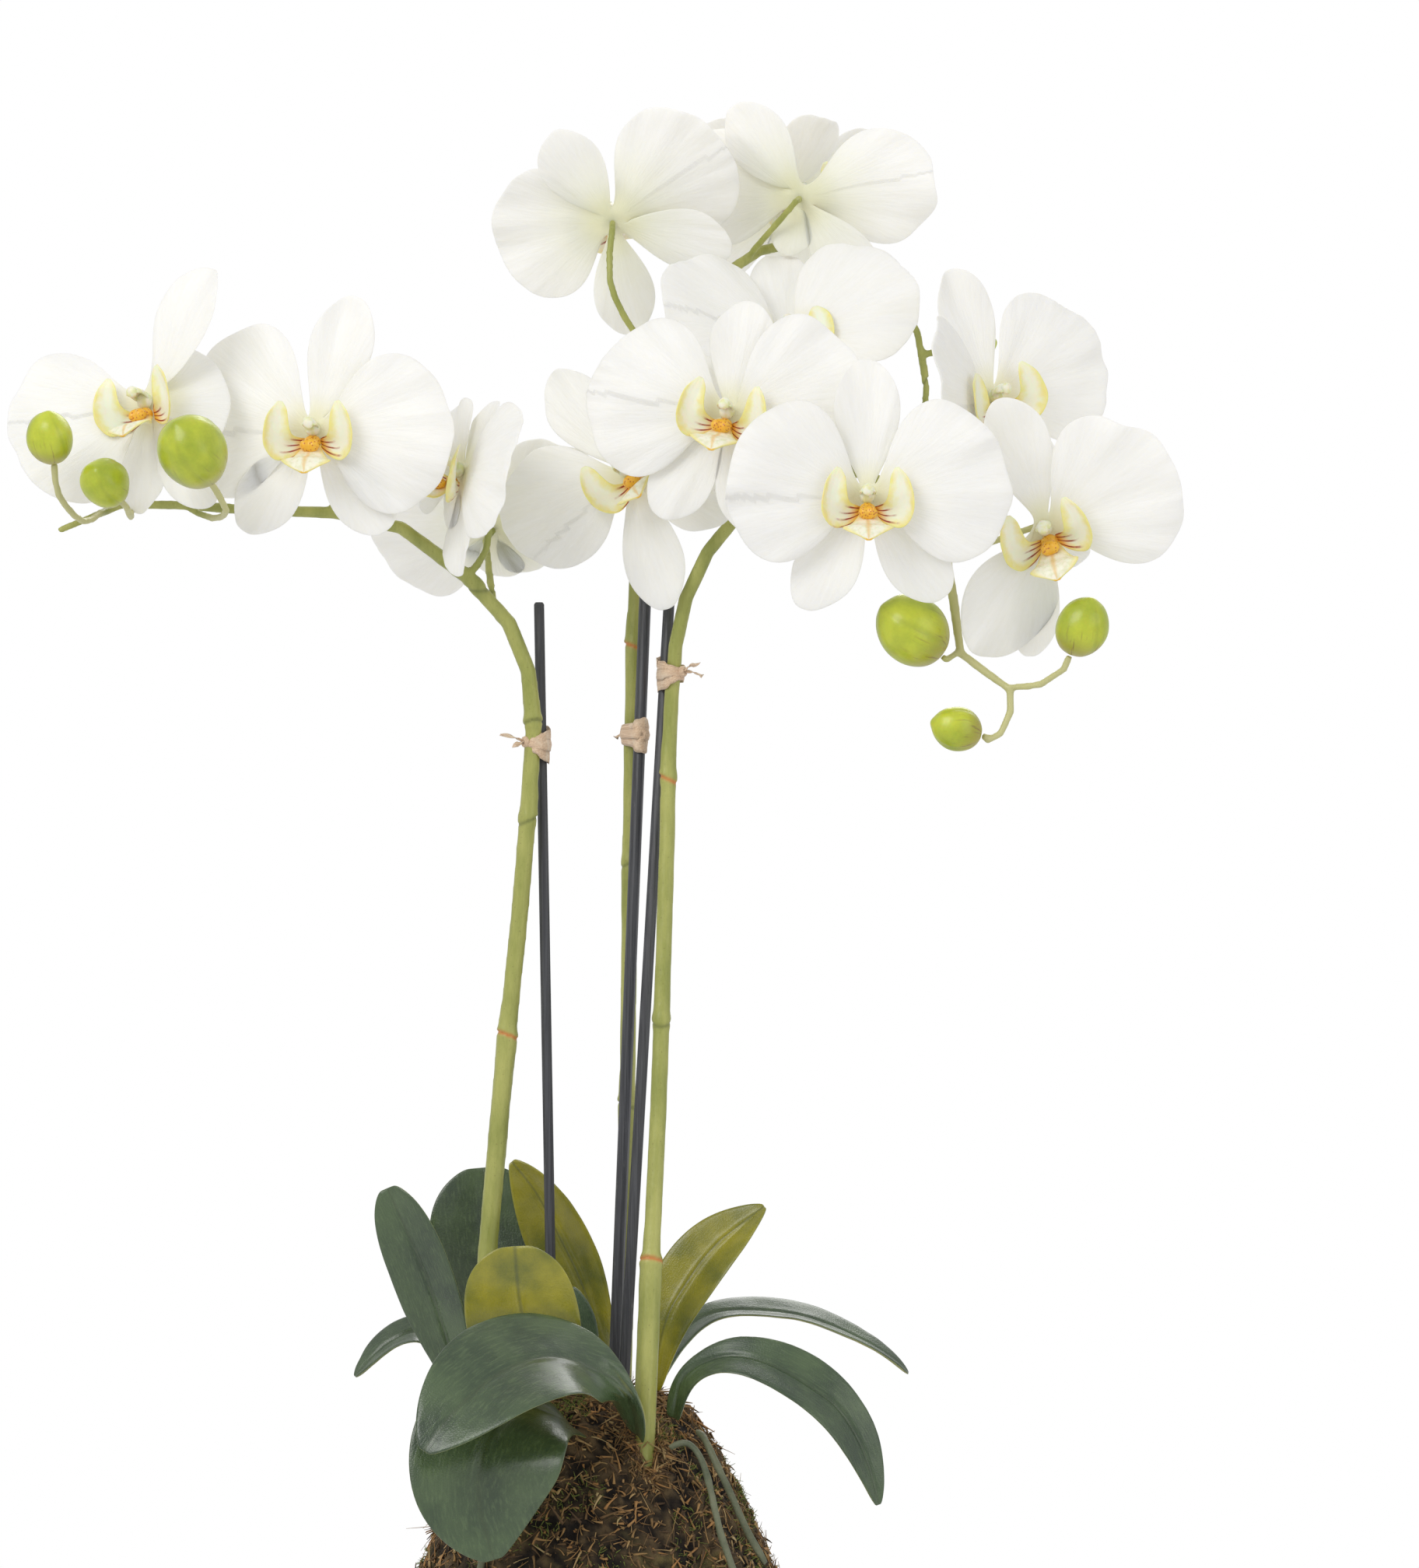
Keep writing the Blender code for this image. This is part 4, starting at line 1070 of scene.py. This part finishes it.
def add_knot(bm, knot, flat, across):
    """Three small loops that cross each other, seen along flat."""
    for k in range(3):
        turned = Matrix.Rotation(k * 1.1 + 0.4, 3, flat)
        loop = []
        for j in range(14):
            t = j * math.pi / 7
            oval = across * 1.9 * math.cos(t) + Vector((0, 0, 1.5 * math.sin(t)))
            loop.append(knot + turned @ oval + flat * 0.5 * math.sin(2 * t))
        faces = [(p - knot).normalized() + flat * 0.4 for p in loop]
        ribbon(bm, loop, faces, [1.1] * len(loop), 0.3, True)


def add_end(bm, knot, flat, across, rise, spread, length):
    """A loose end that leaves the knot, spreads and droops."""
    path = []
    for j in range(8):
        s = j / 7
        lifted = Vector((0, 0, (rise * length - 2.5 * s) * s))
        path.append(knot + flat * length * s * 0.85 + across * spread * length * s + lifted)
    faces = [Vector((0.2, -0.4, 1)) + across * math.sin(j) for j in range(8)]
    ribbon(bm, path, faces, [0.8 + 0.07 * j for j in range(8)], 0.22)


def bind(tie, seed):
    """Turns of raffia round stake and stem, drawn together in a knot with two loose ends."""
    rng = random.Random(seed)
    solid = points(nodes[tie])
    low, high = np.percentile(solid[:, 2], 12), np.percentile(solid[:, 2], 88)
    middle = (low + high) / 2
    rods = held_rods(tie, middle)
    centre = (rods[0][0] + rods[1][0]) / 2
    angles = [2 * math.pi * i / ROUND for i in range(ROUND)]
    ways = [np.array((math.cos(a), math.sin(a))) for a in angles]
    outline = round_both(rods, centre, ways)
    far = solid[np.argsort(-np.linalg.norm(solid[:, :2] - centre, axis=1))[:6]].mean(0)
    flat = Vector((*(far[:2] - centre), 0)).normalized()
    index = max(range(ROUND), key=lambda i: ways[i] @ np.array(flat[:2]))
    apart = [(1 - math.cos(a - angles[index])) / 2 for a in angles]
    bm = bmesh.new()
    for k, (place, half) in enumerate(((-0.26, 3.6), (0.27, 3.4), (0.02, 2.6))):
        height = middle + place * (high - low)
        tilt, swing, grow = rng.uniform(0.5, 1.6), rng.uniform(0, 6.28), 0.3 * k
        path = []
        for i in range(ROUND):
            p = outline[i] + ways[i] * (grow + 0.25 * math.sin(3 * angles[i] + k))
            drawn = middle + (height - middle) * (0.3 + 0.7 * apart[i])
            path.append(Vector((*p, drawn + tilt * math.sin(angles[i] + swing) * apart[i])))
        halves = [half * (0.45 + 0.55 * a) * (1 + 0.08 * math.sin(7 * t + k)) for a, t in zip(apart, angles)]
        ribbon(bm, path, [Vector((*w, 0)) for w in ways], halves, 0.3, True)
    knot = Vector((*outline[index], middle + 1)) + flat
    across = flat.cross(Vector((0, 0, 1)))
    add_knot(bm, knot, flat, across)
    add_end(bm, knot, flat, across, 0.45, 0.25, 12)
    add_end(bm, knot, flat, across, 0.05, -0.35, 9)
    bmesh.ops.recalc_face_normals(bm, faces=bm.faces)
    mesh = bpy.data.meshes.new("raffia_" + tie)
    bm.to_mesh(mesh)
    bm.free()
    return finish_piece(new_object("raffia_" + tie, mesh), raffia_finish, "raffia", tie)


for number, tie in enumerate(("tie_left", "tie_middle", "tie_right")):
    made = bind(tie, number + 5)
    print(tie, len(made.data.polygons), "faces")

# %% [markdown]
# ## The moss ball
# The ball is brown peat fibre with rusty and tan strands and patches of green moss. Its solid is subdivided
# and roughened, with painted shade near black in the hollows between its lumps, and then thousands of short
# bent strands are laid over it, thin and with few faces each, because one would never be seen alone.


# %% Moss materials
def make_peat():
    f = Finish("peat", roughness=0.95)
    # Painted shade: the hollows between the lumps are coloured near black, and the raised lumps keep the
    # peat's tones.
    shade_by_height = f.fade(f.attribute("shade_by_height"), -1.2, 2.2)
    tone = clouds(f, (0.20, 0.13, 0.055), (0.02, 0.013, 0.008), 330.0, 900.0, 0.5)
    green = f.fade(f.noise(f.place(), 42, 3), 0.54, 0.64)
    tone = f.mix(f.times(green, 0.6), tone, (0.12, 0.13, 0.02))
    f.colour(f.mix(shade_by_height, (0.012, 0.008, 0.006), f.mix(0.35, tone, (0.30, 0.20, 0.09))))
    f.bump(f.noise(f.place(), 450, 5, 0.7), 0.003, 1.0)
    return f.material


def make_strands():
    f = Finish("fibre strands", roughness=0.8)
    pick = f.node("ValToRGB", {"Fac": f.attribute("pick")})
    ramp = pick.color_ramp
    ramp.elements[0].color, ramp.elements[1].color = (0.07, 0.04, 0.02, 1), (0.50, 0.38, 0.18, 1)
    for at, tone in (
        (0.35, (0.17, 0.10, 0.04, 1)), (0.6, (0.33, 0.20, 0.075, 1)), (0.8, (0.42, 0.21, 0.07, 1)),
    ):
        ramp.elements.new(at).color = tone
    moss = f.mix(f.noise(f.place(), 400, 2), (0.10, 0.14, 0.025), (0.26, 0.30, 0.06))
    f.colour(f.mix(f.attribute("green"), pick.outputs["Color"], moss))
    f.bump(f.noise(f.place(), 1800, 2), 0.0002, 0.5)
    return f.material


peat, strand_finish = make_peat(), make_strands()
print("finishes:", peat.name, strand_finish.name)

# %% The ball's own lumps
ball = working_copy("moss_ball", "peat_ball")
subdivide(ball, 4)
lumps = points(ball)
DOME_FOOT, BARE_BELOW = 128, 131  # mm: lumps start above the first height, strands above the second
rough = 2.0 * ripple(lumps, 12, 2) + 1.8 * ripple(lumps, 4.5, 4) + 0.8 * ripple(lumps, 1.9, 6)
dome = np.clip((lumps[:, 2] - DOME_FOOT) / 12, 0, 1)
put_points(ball, lumps + point_normals(ball) * (rough * dome)[:, None])
# The lumps' heights, which the peat finish turns into painted shade in the hollows.
note(ball, "shade_by_height", rough)
finish_piece(ball, peat, "moss", "moss_ball")
print("ball:", len(ball.data.polygons), "faces")


# %% Strands over the ball
STEPS = 4  # rings of a strand after its first


def one_strand(rng, foot, out, half, length, lift, mossy):
    """The points of one bent strand: a ring of three at each step, thinner towards its tip."""
    way = np.cross(out, rng.normal(size=3))
    way /= np.linalg.norm(way)
    if mossy:
        way = way * 0.5 + out * 0.8
    run = length * rng.uniform(0.4, 1.3)
    bend = rng.normal(size=3) * 0.3
    bend -= out * (bend @ out) * 0.8
    start = foot + out * lift * rng.uniform(-0.3, 1.0)
    side = np.cross(way, out)
    side /= np.linalg.norm(side)
    droop = 0 if mossy else 0.12
    places = []
    for k in range(STEPS + 1):
        s = k / STEPS
        mid = start + way * run * s + (bend - out * droop) * s * s * run
        thin = half * (1 - 0.75 * s)
        places += [mid + (side * math.cos(a) + out * math.sin(a)) * thin for a in (0, 2.1, 4.2)]
    return places


def strands(name, count, seed, half, length, lift, mossy):
    """Short bent three-sided strands laid on the ball's visible dome, moss only on its green patches."""
    rng = np.random.default_rng(seed)
    places, normals = points(ball), point_normals(ball)
    shown = np.where(places[:, 2] > BARE_BELOW)[0]
    if mossy:
        green = np.array([noise.noise(Vector(p) * 0.042 + Vector((3, 1, 2))) for p in places[shown]])
        shown = shown[green > 0.12]
    verts, faces, picks = [], [], []
    for spot in rng.choice(shown, count):
        base, tip = len(verts), len(verts) + 3 * STEPS
        verts += one_strand(rng, places[spot], normals[spot], half, length, lift, mossy)
        picks += [rng.uniform()] * (len(verts) - base)
        for a in range(base, tip, 3):
            faces += [(a + i, a + (i + 1) % 3, a + 3 + (i + 1) % 3, a + 3 + i) for i in range(3)]
        faces += [(base + 2, base + 1, base), (tip, tip + 1, tip + 2)]
    mesh = bpy.data.meshes.new(name)
    mesh.from_pydata([tuple(v * MM) for v in verts], [], faces)
    obj = new_object(name, mesh)
    only(obj)
    bpy.ops.object.mode_set(mode="EDIT")
    bpy.ops.mesh.select_all(action="SELECT")
    bpy.ops.mesh.normals_make_consistent(inside=False)
    bpy.ops.object.mode_set(mode="OBJECT")
    note(obj, "pick", picks)
    note(obj, "green", [1.0 if mossy else 0.0] * len(verts))
    return finish_piece(obj, strand_finish, "moss")


for name, count, seed, half, length, lift, mossy in (
    ("coarse_fibres", 6500, 11, 0.75, 6, 0.9, False),
    ("fine_fibres", 6500, 12, 0.3, 8, 1.0, False),
    ("moss_tufts", 4500, 13, 0.34, 2.6, 0.2, True),
):
    made = strands(name, count, seed, half, length, lift, mossy)
    print(name, len(made.data.polygons), "faces")

# %% [markdown]
# ## The pot
# The pot is plain pale stoneware with a rolled rim, faint throwing rings and small iron specks. Its
# solid keeps its size. Subdivision rounds the rim, and the rings rise and fall by less than half a
# millimetre.


# %% Pot
def make_stoneware():
    f = Finish("stoneware", roughness=0.62, coat_weight=0.08, coat_roughness=0.4)
    tone = clouds(f, (0.68, 0.66, 0.61), (0.55, 0.53, 0.48), 22.0, 500.0, 0.3)
    specks = f.fade(f.cells(f.place(), 260), 0.14, 0.06)
    pale = f.fade(f.noise(f.place(), 90, 2), 0.5, 0.6)
    f.colour(f.mix(f.times(f.times(specks, pale), 0.75), tone, (0.17, 0.12, 0.08)))
    rings = f.noise(f.scaled(f.place(), (0.05, 0.05, 1)), 260, 3)
    f.bump(f.plus(rings, f.times(f.noise(f.place(), 900, 2), 0.4)), 0.0006, 0.5)
    return f.material


pot = working_copy("pot", "stoneware_pot")
subdivide(pot, 2)
places = points(pot)
out = point_normals(pot)
around = np.clip(np.hypot(out[:, 0], out[:, 1]) * 2 - 1, 0, 1)
RING_DEPTH, RING_SPACING = 0.22, 6.98132  # mm
throwing = RING_DEPTH * np.sin(places[:, 2] * 2 * math.pi / RING_SPACING) * around
put_points(pot, places + out * throwing[:, None])
finish_piece(pot, make_stoneware(), "pot", "pot")
print("pot:", len(pot.data.polygons), "faces")

# %% [markdown]
# ## Floor, light and camera
# The plant stands on a plain white disc in a bright, even white room, with one broad soft light
# from the front left, a weaker one from the right and one behind it that shines through the petals.


# %% Floor and lights
bpy.ops.object.select_all(action="DESELECT")
bpy.ops.mesh.primitive_cylinder_add(vertices=96, radius=0.95, depth=0.02, location=(0, 0, -0.0102))
floor = bpy.context.object
floor.name = "floor"
plaster = Finish("plain floor", roughness=0.8)
plaster.colour(plaster.mix(plaster.noise(plaster.place(), 30, 3), (0.80, 0.80, 0.80), (0.84, 0.84, 0.84)))
floor.data.materials.append(plaster.material)
floor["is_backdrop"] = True


def soft_light(name, place, aim, size, power):
    """A square lamp of this size in metres and power in watts, aimed at a place."""
    lamp = bpy.data.lights.new(name, "AREA")
    lamp.energy, lamp.size, lamp.color = power, size, (1, 0.99, 0.97)
    obj = new_object(name, lamp)
    obj.location = place
    obj.rotation_euler = (Vector(aim) - Vector(place)).to_track_quat("-Z", "Y").to_euler()
    obj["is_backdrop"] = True


soft_light("key", (-1.1, -1.6, 1.7), (0, 0, 0.45), 1.2, 18)
soft_light("fill", (1.5, -1.3, 0.9), (0, 0, 0.45), 1.2, 4)
soft_light("back", (0.4, 1.4, 1.6), (0, 0, 0.5), 1.0, 9)
world = bpy.data.worlds.new("white room")
world.use_nodes = True
world.node_tree.nodes["Background"].inputs["Color"].default_value = (1, 1, 1, 1)
room = world.node_tree
seen = room.nodes.new("ShaderNodeMapRange")
seen.inputs["To Min"].default_value, seen.inputs["To Max"].default_value = 0.68, 1.0
room.links.new(room.nodes.new("ShaderNodeLightPath").outputs["Is Camera Ray"], seen.inputs["Value"])
room.links.new(seen.outputs["Result"], room.nodes["Background"].inputs["Strength"])
bpy.context.scene.world = world
bpy.context.scene.view_settings.view_transform = "Standard"
print("lights: 3")

# %% Camera
lens = bpy.data.cameras.new("camera")
lens.sensor_width, lens.lens = 36, 138.7
lens.clip_start, lens.clip_end = 0.1, 20
camera = new_object("camera", lens)
camera.location = (0.0467, -2.5, 0.4696)
camera.rotation_euler = (math.radians(90), 0, 0)
bpy.context.scene.camera = camera
print("camera at", tuple(round(v, 3) for v in camera.location))

# %% Sizes, and the end
bpy.context.view_layer.update()
triangles = sum(sum(len(p.vertices) - 2 for p in o.data.polygons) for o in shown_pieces())
print("triangles:", triangles)
